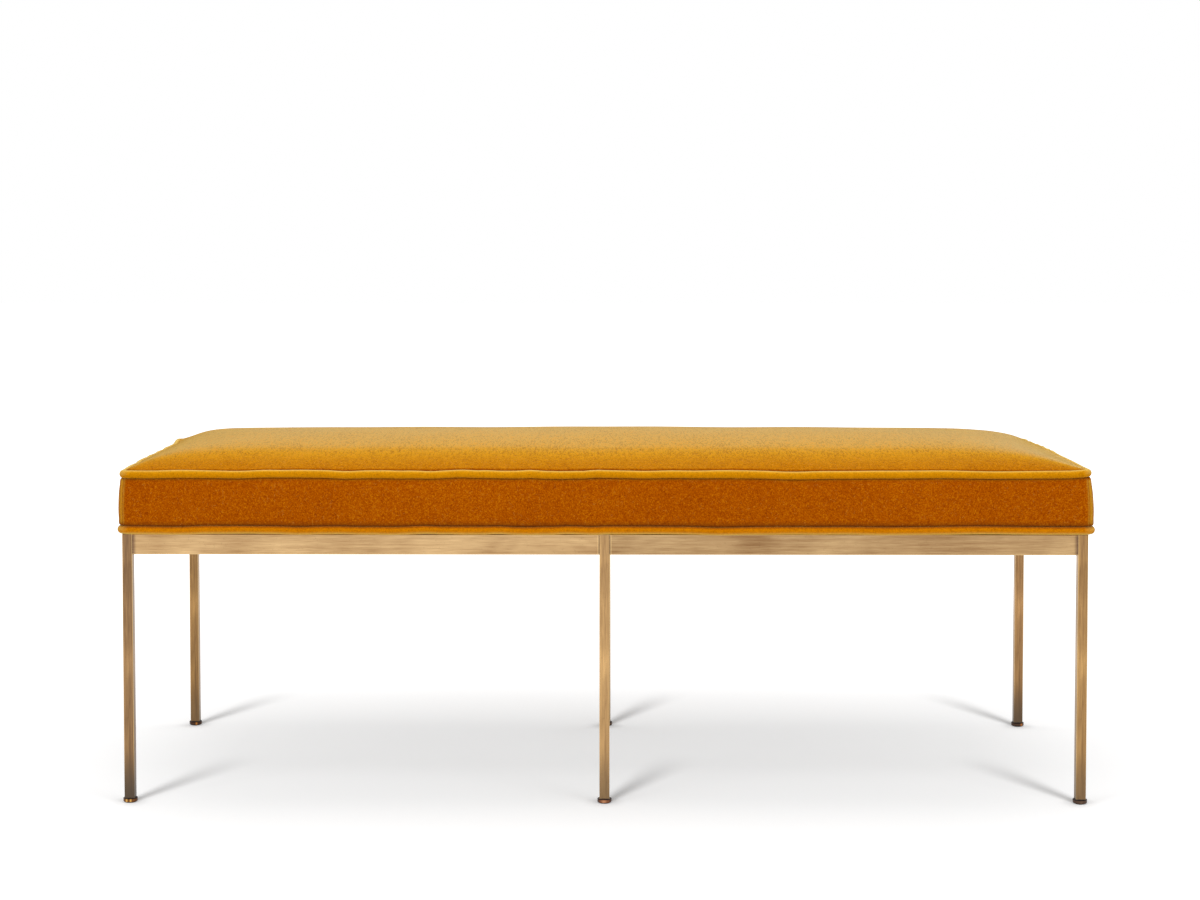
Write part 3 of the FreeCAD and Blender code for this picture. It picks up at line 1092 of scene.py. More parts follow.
    def patch(self, border: np.ndarray) -> Tuple[np.ndarray, np.ndarray]:
        """A grid inside a ring, between its four corners.

        Args:
            border: The ring's points.

        Returns:
            The grid's points and the numbers of its border points in the ring.
        """
        count = len(border)
        corners = self.shape.ring.corners()
        lines = []
        for first, last in zip([corners[3]] + corners[:3], corners):
            steps = (last - first) % count
            lines.append([(first + i) % count for i in range(steps + 1)])
        front, right, rear, left = lines
        rear, left = rear[::-1], left[::-1]
        u = np.linspace(0, 1, len(front))[:, None, None]
        v = np.linspace(0, 1, len(right))[None, :, None]
        low, high = border[front][:, None, :], border[rear][:, None, :]
        west, east = border[left][None, :, :], border[right][None, :, :]
        grid = (1 - v) * low + v * high + (1 - u) * west + u * east
        grid -= (1 - u) * (1 - v) * border[front[0]] + u * (1 - v) * border[front[-1]]
        grid -= (1 - u) * v * border[rear[0]] + u * v * border[rear[-1]]
        numbers = np.full(grid.shape[:2], -1)
        numbers[:, 0], numbers[:, -1] = front, rear
        numbers[0, :], numbers[-1, :] = left, right
        return grid, numbers

    def crown_grid(self, border: np.ndarray) -> Tuple[np.ndarray, np.ndarray]:
        """The grid that closes the top, raised to the crown.

        Args:
            border: The innermost ring.

        Returns:
            The grid's points and the numbers of its border points in the ring.
        """
        grid, numbers = self.patch(border)
        flat = grid[:, :, :2] - np.array([self.shape.shift, 0.0])
        raised = self.shape.low_z + self.shape.rise + self.height(flat) + self.dents(flat)
        grid[:, :, 2] = np.where(numbers < 0, raised, grid[:, :, 2])
        return grid, numbers

    def build(self) -> bpy.types.Object:
        """Build the closed cushion.

        Returns:
            The cushion.
        """
        self.side_rings()
        self.groove()
        self.top_rings()
        count = self.shape.ring.count
        points = list(np.concatenate(self.rings))
        held = [h for h in self.held for _ in range(count)]
        seam_shade = [c for c in self.seam_shade for _ in range(count)]
        faces: List[List[int]] = []
        for level in range(len(self.rings) - 1):
            faces += band(level * count, (level + 1) * count, count)
        for ring, flip in ((len(self.rings) - 1, False), (0, True)):
            grid, numbers = (self.patch if flip else self.crown_grid)(self.rings[ring])
            known = numbers + ring * count
            for i, j in zip(*np.where(numbers < 0)):
                known[i, j] = len(points)
                points.append(grid[i, j])
                held.append(1 if flip else 0)
                seam_shade.append(0.0)
            for i in range(known.shape[0] - 1):
                for j in range(known.shape[1] - 1):
                    quad = [known[i, j], known[i + 1, j], known[i + 1, j + 1], known[i, j + 1]]
                    faces.append([int(n) for n in (quad[::-1] if flip else quad)])
        made = mesh_object("seat_cushion", np.array(points), faces)
        paint(made, "painted_seam_shade", np.array(seam_shade))
        paint(made, "painted_sheen_ridge", self.corner_sheen(np.array(points)))
        self.inflate(made, np.array(held))
        smooth = made.modifiers.new("smooth", "SUBSURF")
        smooth.levels = smooth.render_levels = 1
        apply_modifier(made, smooth)
        return made

    def corner_sheen(self, points: np.ndarray) -> np.ndarray:
        """Where painted sheen lies beside the upright corner seams, from 0 to 1: a line on each
        side of a seam and a wider strip on the end panel, stronger at the right end.

        Args:
            points: The cushion's points.

        Returns:
            The mask.
        """
        shape = self.shape
        reach_x = shape.low_x - shape.corner + shape.shift * np.sign(points[:, 0])
        reach_y = shape.low_y - shape.corner
        side_x, side_y = np.abs(points[:, 0]) - reach_x, np.abs(points[:, 1]) - reach_y
        beyond = (side_x * CORNER_WAY[1] - side_y * CORNER_WAY[0]) / MM
        near = hump(np.abs(beyond) - 1.7, 1.1)
        near += (0.45 + 0.3 * (points[:, 0] > 0)) * (beyond > 0) * hump(beyond, 9.0)
        boxed = (points[:, 2] > self.boxed_from) & (points[:, 2] < self.boxed_to)
        return np.minimum(near, 1.0) * (boxed & (side_x > 0) & (side_y > 0))

    def inflate(self, made: bpy.types.Object, held: np.ndarray) -> None:
        """Press the cover out with a cloth simulation, and keep each point near its start.

        Args:
            made: The cushion.
            held: Which points are sewn down.
        """
        start = np.array([v.co[:] for v in made.data.vertices])
        sewn = made.vertex_groups.new(name="sewn")
        sewn.add([int(i) for i in np.where(held > 0)[0]], 1.0, "REPLACE")
        cloth = made.modifiers.new("cloth", "CLOTH")
        settings = {
            "quality": 6,
            "mass": 0.25,
            "tension_stiffness": 12,
            "compression_stiffness": 12,
            "shear_stiffness": 4,
            "bending_stiffness": 0.6,
            "vertex_group_mass": sewn.name,
            "use_pressure": True,
            "uniform_pressure_force": self.pressure,
        }
        for key, value in settings.items():
            setattr(cloth.settings, key, value)
        cloth.settings.effector_weights.gravity = 0.0
        cloth.point_cache.frame_start = 1
        cloth.point_cache.frame_end = self.steps
        scene = bpy.context.scene
        for frame in range(1, self.steps + 1):
            scene.frame_set(frame)
        shaped = made.evaluated_get(bpy.context.evaluated_depsgraph_get())
        end = np.array([v.co[:] for v in shaped.data.vertices])
        made.modifiers.remove(cloth)
        scene.frame_set(1)
        moved = end - start
        length = np.linalg.norm(moved, axis=1)
        kept = self.cap * np.tanh(length / self.cap)
        scale = np.where(length > TINY, kept / np.maximum(length, TINY), 0)
        LOG.info("cushion: the cloth moved up to %.1f mm", length.max() / MM)
        moved = self.evened(made, moved * scale[:, None], held)
        made.data.vertices.foreach_set("co", (start + moved).ravel())
        made.data.update()

    def evened(self, made: bpy.types.Object, moved: np.ndarray, held: np.ndarray) -> np.ndarray:
        """Spread each point's movement over its neighbours, so that no kink is left.

        Args:
            made: The cushion.
            moved: The movement of each point.
            held: Which points are sewn down.

        Returns:
            The evened movement.
        """
        edges = np.array([edge.vertices[:] for edge in made.data.edges])
        count = np.bincount(edges.ravel(), minlength=len(moved))
        for _ in range(self.evening):
            total = np.zeros_like(moved)
            np.add.at(total, edges[:, 0], moved[edges[:, 1]])
            np.add.at(total, edges[:, 1], moved[edges[:, 0]])
            moved = np.where(held[:, None] > 0, 0.0, total / count[:, None])
        return moved


@dataclass
class Welt:
    """A welt: velvet sewn round a cord, in the low or the top seam."""

    name: str
    share: int
    shape: SeatShape = field(default_factory=SeatShape)
    sides: int = 18
    # Where painted sheen highlights lie round the cord and over what width, in degrees
    upper_light: Pair = (88, 26)
    lower_light: Pair = (300, 26)
    end_light: Pair = (20, 55)

    def build(self) -> bpy.types.Object:
        """Build the welt as a closed tube.

        Returns:
            The welt.
        """
        centre = self.shape.seam(self.share, 0.0, -0.5 * MM * (1 - self.share))
        count = len(centre)
        half_x = self.shape.low_x - self.shape.inset * self.share
        half_y = self.shape.low_y - self.shape.inset * self.share
        radius = self.shape.corner - self.shape.inset * self.share
        flat, normals = self.shape.ring.points(half_x, half_y, radius)
        thick = self.shape.welt + 0.3 * MM * (1 - self.share)
        thick = thick + self.shape.wander(flat, 9.0 + self.share, 0.2 * MM)
        points, painted_sheen_ridge = [], []
        for step in range(self.sides):
            angle = 2 * math.pi * step / self.sides
            out = normals * (thick * math.cos(angle))[:, None]
            points.append(centre + np.column_stack([out, thick * math.sin(angle)]))
            # Painted sheen highlights along the top, along the bottom of the low welt and round
            # the ends
            painted_sheen_crest = (0.3 + 0.7 * self.share) * self.lit(angle, self.upper_light)
            painted_sheen_crest += (1 - self.share) * self.lit(angle, self.lower_light)
            ends = 0.6 * self.lit(angle, self.end_light) * np.abs(normals[:, 0])
            painted_sheen_ridge.append(np.minimum(painted_sheen_crest + ends, 1.2))
        faces: List[List[int]] = []
        for step in range(self.sides):
            faces += band(step * count, ((step + 1) % self.sides) * count, count)
        made = mesh_object(self.name, np.concatenate(points), faces)
        paint(made, "painted_sheen_ridge", np.concatenate(painted_sheen_ridge))
        return made

    @staticmethod
    def lit(angle: float, light: Pair) -> float:
        """How strong a painted sheen highlight is at an angle round the cord, for its place and
        width.
        """
        return math.exp(-(((math.degrees(angle) - light[0]) / light[1]) ** 2))


@dataclass
class LooseFibres:
    """Short mohair fibres that rest on the pile or stand out from a welt."""

    name: str
    count: int
    length: Pair
    width: float
    lift: float
    seed: int
    segments: int = 3
    bow: float = 0.25
    stray: float = 2.0

    def build(self, skin: bpy.types.Object, low: float) -> bpy.types.Object:
        """Scatter the fibres over a skin as narrow ribbons.

        Args:
            skin: The piece that they lie on.
            low: The lowest place for a fibre.

        Returns:
            The fibres as one piece.
        """
        rng = np.random.default_rng(self.seed)
        polygons = [p for p in skin.data.polygons if p.center.z > low]
        centres = np.array([p.center[:] for p in polygons])
        normals = np.array([p.normal[:] for p in polygons])
        areas = np.array([p.area for p in polygons])
        chosen = rng.choice(len(polygons), self.count, p=areas / areas.sum())
        base, normal = centres[chosen], normals[chosen]
        aim = rng.normal(size=(self.count, 3))
        along = aim - normal * (aim * normal).sum(1)[:, None]
        along /= np.linalg.norm(along, axis=1)[:, None]
        across = np.cross(normal, along)
        size = rng.uniform(self.length[0], self.length[1], self.count) * MM
        bend = rng.uniform(-self.bow, self.bow, self.count)
        start = base + along * rng.uniform(-self.stray, self.stray, self.count)[:, None] * MM
        points, faces = [], []
        for step in range(self.segments + 1):
            part = step / self.segments
            middle = start + along * (size * (part - 0.5))[:, None]
            middle = middle + across * (size * bend * (part - 0.5) ** 2 * 2)[:, None]
            middle = middle + normal * (0.15 * MM + self.lift * part * size)[:, None]
            half = across * (self.width * MM / 2 * (1 - 0.8 * abs(2 * part - 1)))
            points += [middle - half, middle + half]
        stacked = np.stack(points, axis=1).reshape(-1, 3)
        for fibre in range(self.count):
            first = fibre * len(points)
            for step in range(self.segments):
                corner = first + step * 2
                faces.append([corner, corner + 1, corner + 3, corner + 2])
        return mesh_object(self.name, stacked, faces)


@dataclass
class Screw:
    """A pan head screw with a cross recess, seen from below."""

    head: float = 9.0 * MM
    height: float = 2.8 * MM
    shank: float = 4.2 * MM
    length: float = 14.0 * MM
    seat: float = 337.5 * MM
    rim: float = 0.9 * MM
    cross: Point = (4.6 * MM, 1.0 * MM, 2.6 * MM)
    cross_turn: float = 0.4

    def build(self, name: str, at: Pair) -> bpy.types.Object:
        """Build one screw in its place.

        Args:
            name: The screw's name.
            at: Its place in plan.

        Returns:
            The screw.
        """
        middle = (at[0], at[1], self.seat - self.height / 2)
        made = add_rod(name, self.head, self.height, middle)
        self.press(made, lambda face: face.normal.z < -0.9, "inset", self.rim)
        self.round_rim(made)
        self.press(made, lambda face: face.normal.z > 0.9, "inset", (self.head - self.shank) / 2)
        self.press(made, self.ends_shank, "raise", self.length)
        for turned in (0.0, math.pi / 2):
            self.recess(made, at, turned)
        return made

    @staticmethod
    def ends_shank(face: bmesh.types.BMFace) -> bool:
        """Whether a face is the small level one that the shank grows from."""
        return face.normal.z > 0.9 and face.calc_area() < 2e-5

    @staticmethod
    def press(
        made: bpy.types.Object,
        wanted: Callable[[bmesh.types.BMFace], bool],
        way: str,
        size: float,
    ) -> None:
        """Inset or raise the faces that are wanted.

        Args:
            made: The screw.
            wanted: A test of a face.
            way: "inset" or "raise".
            size: How far.
        """
        select_only(made)
        bpy.ops.object.mode_set(mode="EDIT")
        bpy.ops.mesh.select_mode(type="FACE")
        shell = bmesh.from_edit_mesh(made.data)
        for face in shell.faces:
            face.select_set(wanted(face))
        bmesh.update_edit_mesh(made.data)
        if way == "inset":
            bpy.ops.mesh.inset(thickness=size, depth=0.0)
        else:
            bpy.ops.mesh.extrude_region_move(TRANSFORM_OT_translate={"value": (0.0, 0.0, size)})
        bpy.ops.object.mode_set(mode="OBJECT")

    def round_rim(self, made: bpy.types.Object) -> None:
        """Round the head's lower rim.

        Args:
            made: The screw.
        """
        bottom = self.seat - self.height
        centre = sum((v.co for v in made.data.vertices), Vector()) / len(made.data.vertices)
        for vertex in made.data.vertices:
            flat = (vertex.co.xy - centre.xy).length
            if abs(vertex.co.z - bottom) < 0.01 * MM and flat > self.head / 2 - 0.1 * MM:
                vertex.co.z += self.rim

    def recess(self, made: bpy.types.Object, at: Pair, turned: float) -> None:
        """Cut one bar of the cross recess.

        Args:
            made: The screw.
            at: Its place in plan.
            turned: The bar's turn.
        """
        bpy.ops.object.select_all(action="DESELECT")
        low = (at[0], at[1], self.seat - self.height)
        way = (0.0, 0.0, turned + self.cross_turn)
        bpy.ops.mesh.primitive_cube_add(size=1.0, location=low, rotation=way)
        bar = bpy.context.object
        bar.scale = self.cross
        cut = made.modifiers.new("recess", "BOOLEAN")
        cut.operation = "DIFFERENCE"
        cut.object = bar
        apply_modifier(made, cut)
        bpy.data.objects.remove(bar)


@dataclass
class ThreadedStud:
    """A levelling foot's stud, with a thread cut along it."""

    diameter: float = 6.3 * MM
    root: float = 4.9 * MM
    pitch: float = 1.27 * MM
    low: float = 3.3 * MM
    high: float = 27.3 * MM
    chamfer: float = 0.5 * MM
    cuts_per_turn: int = 4

    def build(self, name: str, at: Pair) -> bpy.types.Object:
        """Build the stud in its place.

        Args:
            name: The stud's name.
            at: Its place in plan.

        Returns:
            The stud.
        """
        depth = self.high - self.low
        made = add_rod(name, self.diameter, depth, (at[0], at[1], (self.high + self.low) / 2))
        bpy.ops.object.mode_set(mode="EDIT")
        shell = bmesh.from_edit_mesh(made.data)
        for edge in shell.edges:
            edge.select_set(abs(edge.verts[0].co.z - edge.verts[1].co.z) > depth / 2)
        bmesh.update_edit_mesh(made.data)
        bpy.ops.mesh.subdivide(number_cuts=int(depth / self.pitch * self.cuts_per_turn))
        bpy.ops.object.mode_set(mode="OBJECT")
        for vertex in made.data.vertices:
            x, y, up = vertex.co.x - at[0], vertex.co.y - at[1], vertex.co.z - self.low
            turn = (up / self.pitch - math.atan2(y, x) / (2 * math.pi)) % 1.0
            cut = 1 - abs(2 * turn - 1)
            end = min(up / MM, (self.high - vertex.co.z) / MM, 1.0)
            width = self.diameter - (self.diameter - self.root) * cut * end
            radius = (width - self.chamfer * (1 - end)) / 2
            scale = radius / max(math.hypot(x, y), TINY)
            vertex.co.x, vertex.co.y = at[0] + x * scale, at[1] + y * scale
        return made


@dataclass
class Underside:
    """The cloth pieces under the seat: the dust cover and the cover's turned-under edge."""

    cover_x: float = 599.0 * MM
    cover_y: float = 217.0 * MM
    cover_z: float = 340.9 * MM
    edge_x: float = 606.0 * MM
    edge_y: float = 219.4 * MM
    edge_z: float = 342.0 * MM
    edge_width: float = 38.0 * MM
    cover_thickness: float = 0.45 * MM
    edge_thickness: float = 0.8 * MM
    sag: float = 1.8 * MM
    ripple: float = 0.35 * MM
    edge_ripple: float = 0.12 * MM

    @staticmethod
    def plane(
        name: str, centre: Point, half_x: float, half_y: float, cuts: int
    ) -> bpy.types.Object:
        """Add a flat sheet, evenly divided.

        Args:
            name: The sheet's name.
            centre: Its middle.
            half_x: Half its size along x.
            half_y: Half its size along y.
            cuts: How many cuts divide each side.

        Returns:
            The sheet.
        """
        bpy.ops.object.select_all(action="DESELECT")
        bpy.ops.mesh.primitive_plane_add(size=2.0, location=centre)
        bpy.context.object.scale = (half_x, half_y, 1.0)
        made = settle(name)
        bpy.ops.object.mode_set(mode="EDIT")
        bpy.ops.mesh.select_all(action="SELECT")
        bpy.ops.mesh.subdivide(number_cuts=cuts)
        bpy.ops.object.mode_set(mode="OBJECT")
        return made

    @staticmethod
    def thicken(made: bpy.types.Object, thickness: float) -> None:
        """Give a sheet its thickness, to both sides.

        Args:
            made: The sheet.
            thickness: How thick it is.
        """
        wall = made.modifiers.new("thickness", "SOLIDIFY")
        wall.thickness = thickness
        wall.offset = 0.0
        apply_modifier(made, wall)
        for polygon in made.data.polygons:
            polygon.use_smooth = True

    def dust_cover(self) -> bpy.types.Object:
        """The dust cover, sagging a little between the rails.

        Returns:
            The dust cover.
        """
        centre = (0.0, 0.0, self.cover_z)
        made = self.plane("dust_cover_cloth", centre, self.cover_x, self.cover_y, 59)
        for vertex in made.data.vertices:
            x, y = vertex.co.x, vertex.co.y
            bay = max(0.0, math.sin(math.pi * min(abs(x) / 0.585, 1.0))) ** 0.7
            depth = max(0.0, 1 - (y / 0.186) ** 2) * bay
            ripple = math.sin(x * 61 + y * 17) * math.sin(y * 43 - x * 9)
            vertex.co.z -= self.sag * depth + self.ripple * ripple * depth
        self.thicken(made, self.cover_thickness)
        return made

    def turned_edges(self) -> List[Tuple[bpy.types.Object, Pair]]:
        """The cover's edges, turned under the deck on its four sides.

        Returns:
            Each edge and its flat size.
        """
        half = self.edge_width / 2
        long_y, short_x = self.edge_y - half, self.edge_x - half
        short = self.edge_y - self.edge_width
        sides = {
            "front": (0.0, -long_y, self.edge_x, half),
            "rear": (0.0, long_y, self.edge_x, half),
            "left": (-short_x, 0.0, half, short),
            "right": (short_x, 0.0, half, short),
        }
        made = []
        for side, (x, y, half_x, half_y) in sides.items():
            centre = (x, y, self.edge_z)
            strip = self.plane("cover_turned_edge_" + side, centre, half_x, half_y, 39)
            for vertex in strip.data.vertices:
                wave = math.sin(vertex.co.x * 83 + vertex.co.y * 59)
                vertex.co.z += self.edge_ripple * wave
            self.thicken(strip, self.edge_thickness)
            made.append((strip, (2 * half_x, 2 * half_y)))
        return made


@dataclass(frozen=True)
class Lamp:
    """A soft rectangular lamp: where it hangs, what it faces, its size and its power in watts."""

    name: str
    at: Point
    to: Point
    size: Pair
    power: float

    def build(self) -> None:
        """Hang the lamp."""
        data = bpy.data.lights.new(self.name, "AREA")
        data.shape = "RECTANGLE"
        data.size, data.size_y = self.size
        data.energy = self.power
        made = bpy.data.objects.new(self.name, data)
        bpy.context.scene.collection.objects.link(made)
        made.location = self.at
        way = Vector(self.to) - Vector(self.at)
        made.rotation_euler = way.to_track_quat("-Z", "Y").to_euler()


@dataclass
class Studio:
    """The floor, the background, the lamps and the camera."""

    lamps: Tuple[Lamp, ...] = (
        Lamp("overhead", (0.0, -0.22, 2.6), (0.0, 0.0, 0.0), (2.6, 2.8), 31.0),
        Lamp("front_left", (-2.2, -2.4, 1.8), (0.0, 0.0, 0.3), (1.4, 1.4), 12.0),
        Lamp("front_right", (2.2, -2.4, 1.8), (0.0, 0.0, 0.3), (1.4, 1.4), 12.0),
    )
    sensor: float = 36.0
    lens: float = 66.375
    shift: float = -0.10
    eye: Point = (0.0146, -2.9800, 0.7245)
    tilt: float = 2.643
    turn: float = 0.42
    white: Colour = (1.0, 1.0, 1.0)
    grey: Colour = (0.8, 0.8, 0.8)
    floor_size: float = 24.0
    floor_back: float = 6.0
    glow: float = 0.48
    far_gain: float = 0.5
    # How much the floor's glow drops for painted shade round the feet, along painted leg shadows
    # and in a painted ring round the bench, and rises in a painted lighter patch beneath it
    painted_contact_shade: float = 0.12
    painted_streak_shade: float = 0.36
    painted_ring_shade: float = 0.07
    painted_under_light: float = 0.03
    streak_turn: float = 24
    streak_spread: float = 0.09
    streak_start: float = 6 * MM
    streak_length: float = 290 * MM
    before_leg: float = 20 * MM

    def build(self) -> None:
        """Build the studio round the bench."""
        self.floor()
        self.background()
        for lamp in self.lamps:
            lamp.build()
        self.camera()

    def floor(self) -> None:
        """A pale floor, white to the camera where no shade falls on it, with painted shade round
        the feet, painted leg shadows, a painted ring of shade round the bench and a painted
        lighter patch beneath it.
        """
        bpy.ops.object.select_all(action="DESELECT")
        middle = (0.0, self.floor_back, 0.0)
        bpy.ops.mesh.primitive_plane_add(size=self.floor_size, location=middle)
        plane = settle("studio_floor")
        shader = Shader.named("floor_white")
        seen = self.seen(shader)
        x, y, _ = shader.axes(shader.place())
        far = (x * x + y * y * 1.6).rise(0.9, 7.0)
        # Painted contact shade round each foot, painted leg shadows, a painted ring of shade round
        # the bench and a painted lighter patch under it
        beside = abs(x).least(abs(abs(x) - LEG_X))
        ahead = abs(abs(y) - LEG_Y)
        near = ((beside * beside + ahead * ahead) ** 0.5).rise(30 * MM, 8 * MM)
        diffuse = shader.node("ShaderNodeBsdfDiffuse", {}, {"Color": self.grey})
        streaks = self.streak(shader, x + LEG_X, y).most(self.streak(shader, x, y))
        streaks = streaks.most(self.streak(shader, LEG_X - x, y))
        ring = abs(y).rise(0.08, 0.24) * abs(y).rise(0.6, 0.36) * abs(x).rise(0.72, 0.42)
        under = abs(y).rise(0.22, 0.06) * abs(x).rise(0.65, 0.45)
        level = self.glow + far * self.far_gain - near * self.painted_contact_shade
        level = level - streaks * self.painted_streak_shade - ring * self.painted_ring_shade
        strength = seen * (level + under * self.painted_under_light)
        glow = shader.node("ShaderNodeEmission", {}, {"Color": self.white, "Strength": strength})
        both = shader.node("ShaderNodeAddShader", {}, {0: diffuse, 1: glow})
        shader.node("ShaderNodeOutputMaterial", {}, {"Surface": both})
        dress(plane, shader.owner)

    def streak(self, shader: Shader, x: Value, y: Value) -> Value:
        """The painted soft shadows that run back and aside from the two feet of a column.

        Args:
            shader: The floor's material.
            x: The distance from the column, towards the side that the shadows run to.
            y: The place along y.

        Returns:
            The shadows, from 0 to 1.
        """
        ahead = y + LEG_Y + self.before_leg
        back = shader.math("FLOORED_MODULO", ahead, 2 * LEG_Y) - self.before_leg
        turn = math.radians(self.streak_turn)
        along = back * math.cos(turn) + x * math.sin(turn)
        across = abs(x * math.cos(turn) - back * math.sin(turn))
        width = along.most(0.0) * self.streak_spread + self.streak_start
        line = (across / width).rise(1.7, 0.0)
        ends = along.rise(-2 * MM, 14 * MM) * along.rise(self.streak_length, 10 * MM)
        front = y.rise(-LEG_Y - 30 * MM, -LEG_Y - 10 * MM)
        return line * ends * front * y.rise(LEG_Y + 300 * MM, LEG_Y + 200 * MM)

    @staticmethod
    def seen(shader: Shader) -> Value:
        """Whether the camera, a reflection or glass looks at a surface.

        Args:
            shader: The material or background that is being built.

        Returns:
            1 where one of them does, else 0.
        """
        rays = ("Is Camera Ray", "Is Glossy Ray", "Is Transmission Ray")
        camera, glossy, through = (shader.node("ShaderNodeLightPath", output=ray) for ray in rays)
        return (camera + glossy + through).least(1.0)

    def background(self) -> None:
        """A white background that adds only a little light of its own."""
        world = bpy.data.worlds.new("studio")
        bpy.context.scene.world = world
        shader = Shader(world)
        strength = 0.5 + self.seen(shader) * 0.5
        sockets = {"Color": self.white, "Strength": strength}
        light = shader.node("ShaderNodeBackground", {}, sockets)
        shader.node("ShaderNodeOutputWorld", {}, {"Surface": light})

    def camera(self) -> None:
        """The camera, at the place and angle of the photograph."""
        data = bpy.data.cameras.new("camera")
        data.sensor_fit = "HORIZONTAL"
        data.sensor_width = self.sensor
        data.lens = self.lens
        data.shift_y = self.shift
        made = bpy.data.objects.new("camera", data)
        bpy.context.scene.collection.objects.link(made)
        made.location = self.eye
        made.rotation_euler = (math.radians(90 - self.tilt), 0.0, math.radians(self.turn))
        bpy.context.scene.camera = made


@dataclass
class BrassFrame:
    """The welded frame: six legs, the rails between them and the small pieces fixed to them."""

    nodes: Dict[str, bpy.types.Object]

    def dress(self) -> None:
        """Give each leg and rail its own brass."""
        light, dark = srgb(213, 179, 130), srgb(146, 108, 70)
        tones = {
            "front_left": (srgb(168, 132, 90), srgb(92, 68, 52), 0.5, 0.34, 0.9),
            "front_middle": (srgb(206, 166, 112), srgb(128, 96, 66), 0.46, 0.34, 0.5),
            "front_right": (srgb(190, 150, 96), srgb(110, 80, 54), 0.5, 0.34, 0.5),
            "rear_left": (srgb(180, 140, 88), srgb(94, 68, 48), 0.5, 0.34, 0.45),
            "rear_middle": (srgb(186, 148, 100), srgb(104, 76, 54), 0.5, 0.34, 0.6),
            "rear_right": (srgb(184, 142, 94), srgb(102, 74, 52), 0.48, 0.34, 0.8),
        }
        for place in PLACES:
            foot = (*leg_place(place), 0.0)
            brass = AgedBrass("leg_brass_" + place, Grain.ALONG_Z, foot, *tones[place])
            dress(self.nodes["leg_" + place], brass.material())
        for row, y in (("front", -LEG_Y), ("rear", LEG_Y)):
            for side, shade, age in (("left", 1.0, 0.46), ("right", 0.86, 0.5)):
                pair = tuple(tuple(c * shade for c in tone) for tone in (light, dark))
                name, centre = f"{row}_{side}", (0.0, y, RAIL_MIDDLE)
                brass = AgedBrass("rail_brass_" + name, Grain.ALONG_X, centre, *pair, age)
                dress(self.nodes["rail_" + name], brass.material())
        ends = {"rail_end_left": -LEG_X, "rail_end_right": LEG_X, "rail_cross_middle": 0.0}
        for name, x in ends.items():
            centre = (x, 0.0, RAIL_MIDDLE)
            brass = AgedBrass("brass_" + name, Grain.ALONG_Y, centre, light, dark, 0.45)
            dress(self.nodes[name], brass.material())
        centre = (0.0, 0.0, FRAME_TOP)
        tab = AgedBrass("tab_brass", Grain.ALONG_X, centre, light, dark, 0.6, 0.45)
        dress(self.nodes["seat_tabs"], tab.material())


@dataclass(frozen=True)
class FootBrass:
    """Turned brass of a foot's disc, with painted shade on its rims and sides and painted
    highlights in spots.
    """

    name: str
    centre: Pair
    body: Colour
    # The colour of the painted highlights on the disc
    bright: Colour
    spots: Tuple[Pair, ...]
    # How strong the painted shade on the disc's sides is
    sides: float = 0.6
    turned: Colour = srgb(62, 42, 34)
    side_shade: Colour = srgb(58, 42, 40)
    rim_shade: Colour = srgb(48, 38, 34)
    low_rim: Pair = (1.7 * MM, 0.9 * MM)
    high_rim: Pair = (4.4 * MM, 5.2 * MM)
    side_reach: Pair = (4.5 * MM, 8.5 * MM)

    def material(self) -> bpy.types.Material:
        """Build the material.

        Returns:
            The material.
        """
        shader = Shader.named(self.name)
        x, _, z = shader.axes(shader.place((*self.centre, 0.0)))
        fine = shader.noise(shader.place(scale=(0.2, 0.2, 1.0)), 2600.0, 3.0, 0.6)
        cloud = shader.noise(shader.place(), 260.0, 2.0, 0.5)
        colour = self.body
        # Painted highlights: bright bands across the disc at the given offsets and widths, in mm
        for offset, width in self.spots:
            painted_highlight = abs(x - offset * MM).rise(width * MM, 0.3 * MM) * (0.7 + cloud * 0.5)
            colour = shader.mix(painted_highlight.least(1.0), colour, self.bright)
        colour = shader.mix((fine - 0.4) * 1.6, colour, self.turned)
        # Painted shade on the disc's sides and on its upper and lower rims
        colour = shader.mix(abs(x).rise(*self.side_reach) * self.sides, colour, self.side_shade)
        rims = z.rise(*self.low_rim) + z.rise(*self.high_rim)
        rough = 0.32 + (cloud - 0.5) * 0.3 + rims * 0.2
        return shader.finish({
            "Base Color": shader.mix(rims * 0.85, colour, self.rim_shade),
            "Metallic": 1.0,
            "Roughness": rough.least(0.8).most(0.15),
            "Normal": shader.bump(fine, 0.2, 0.1 * MM),
        })


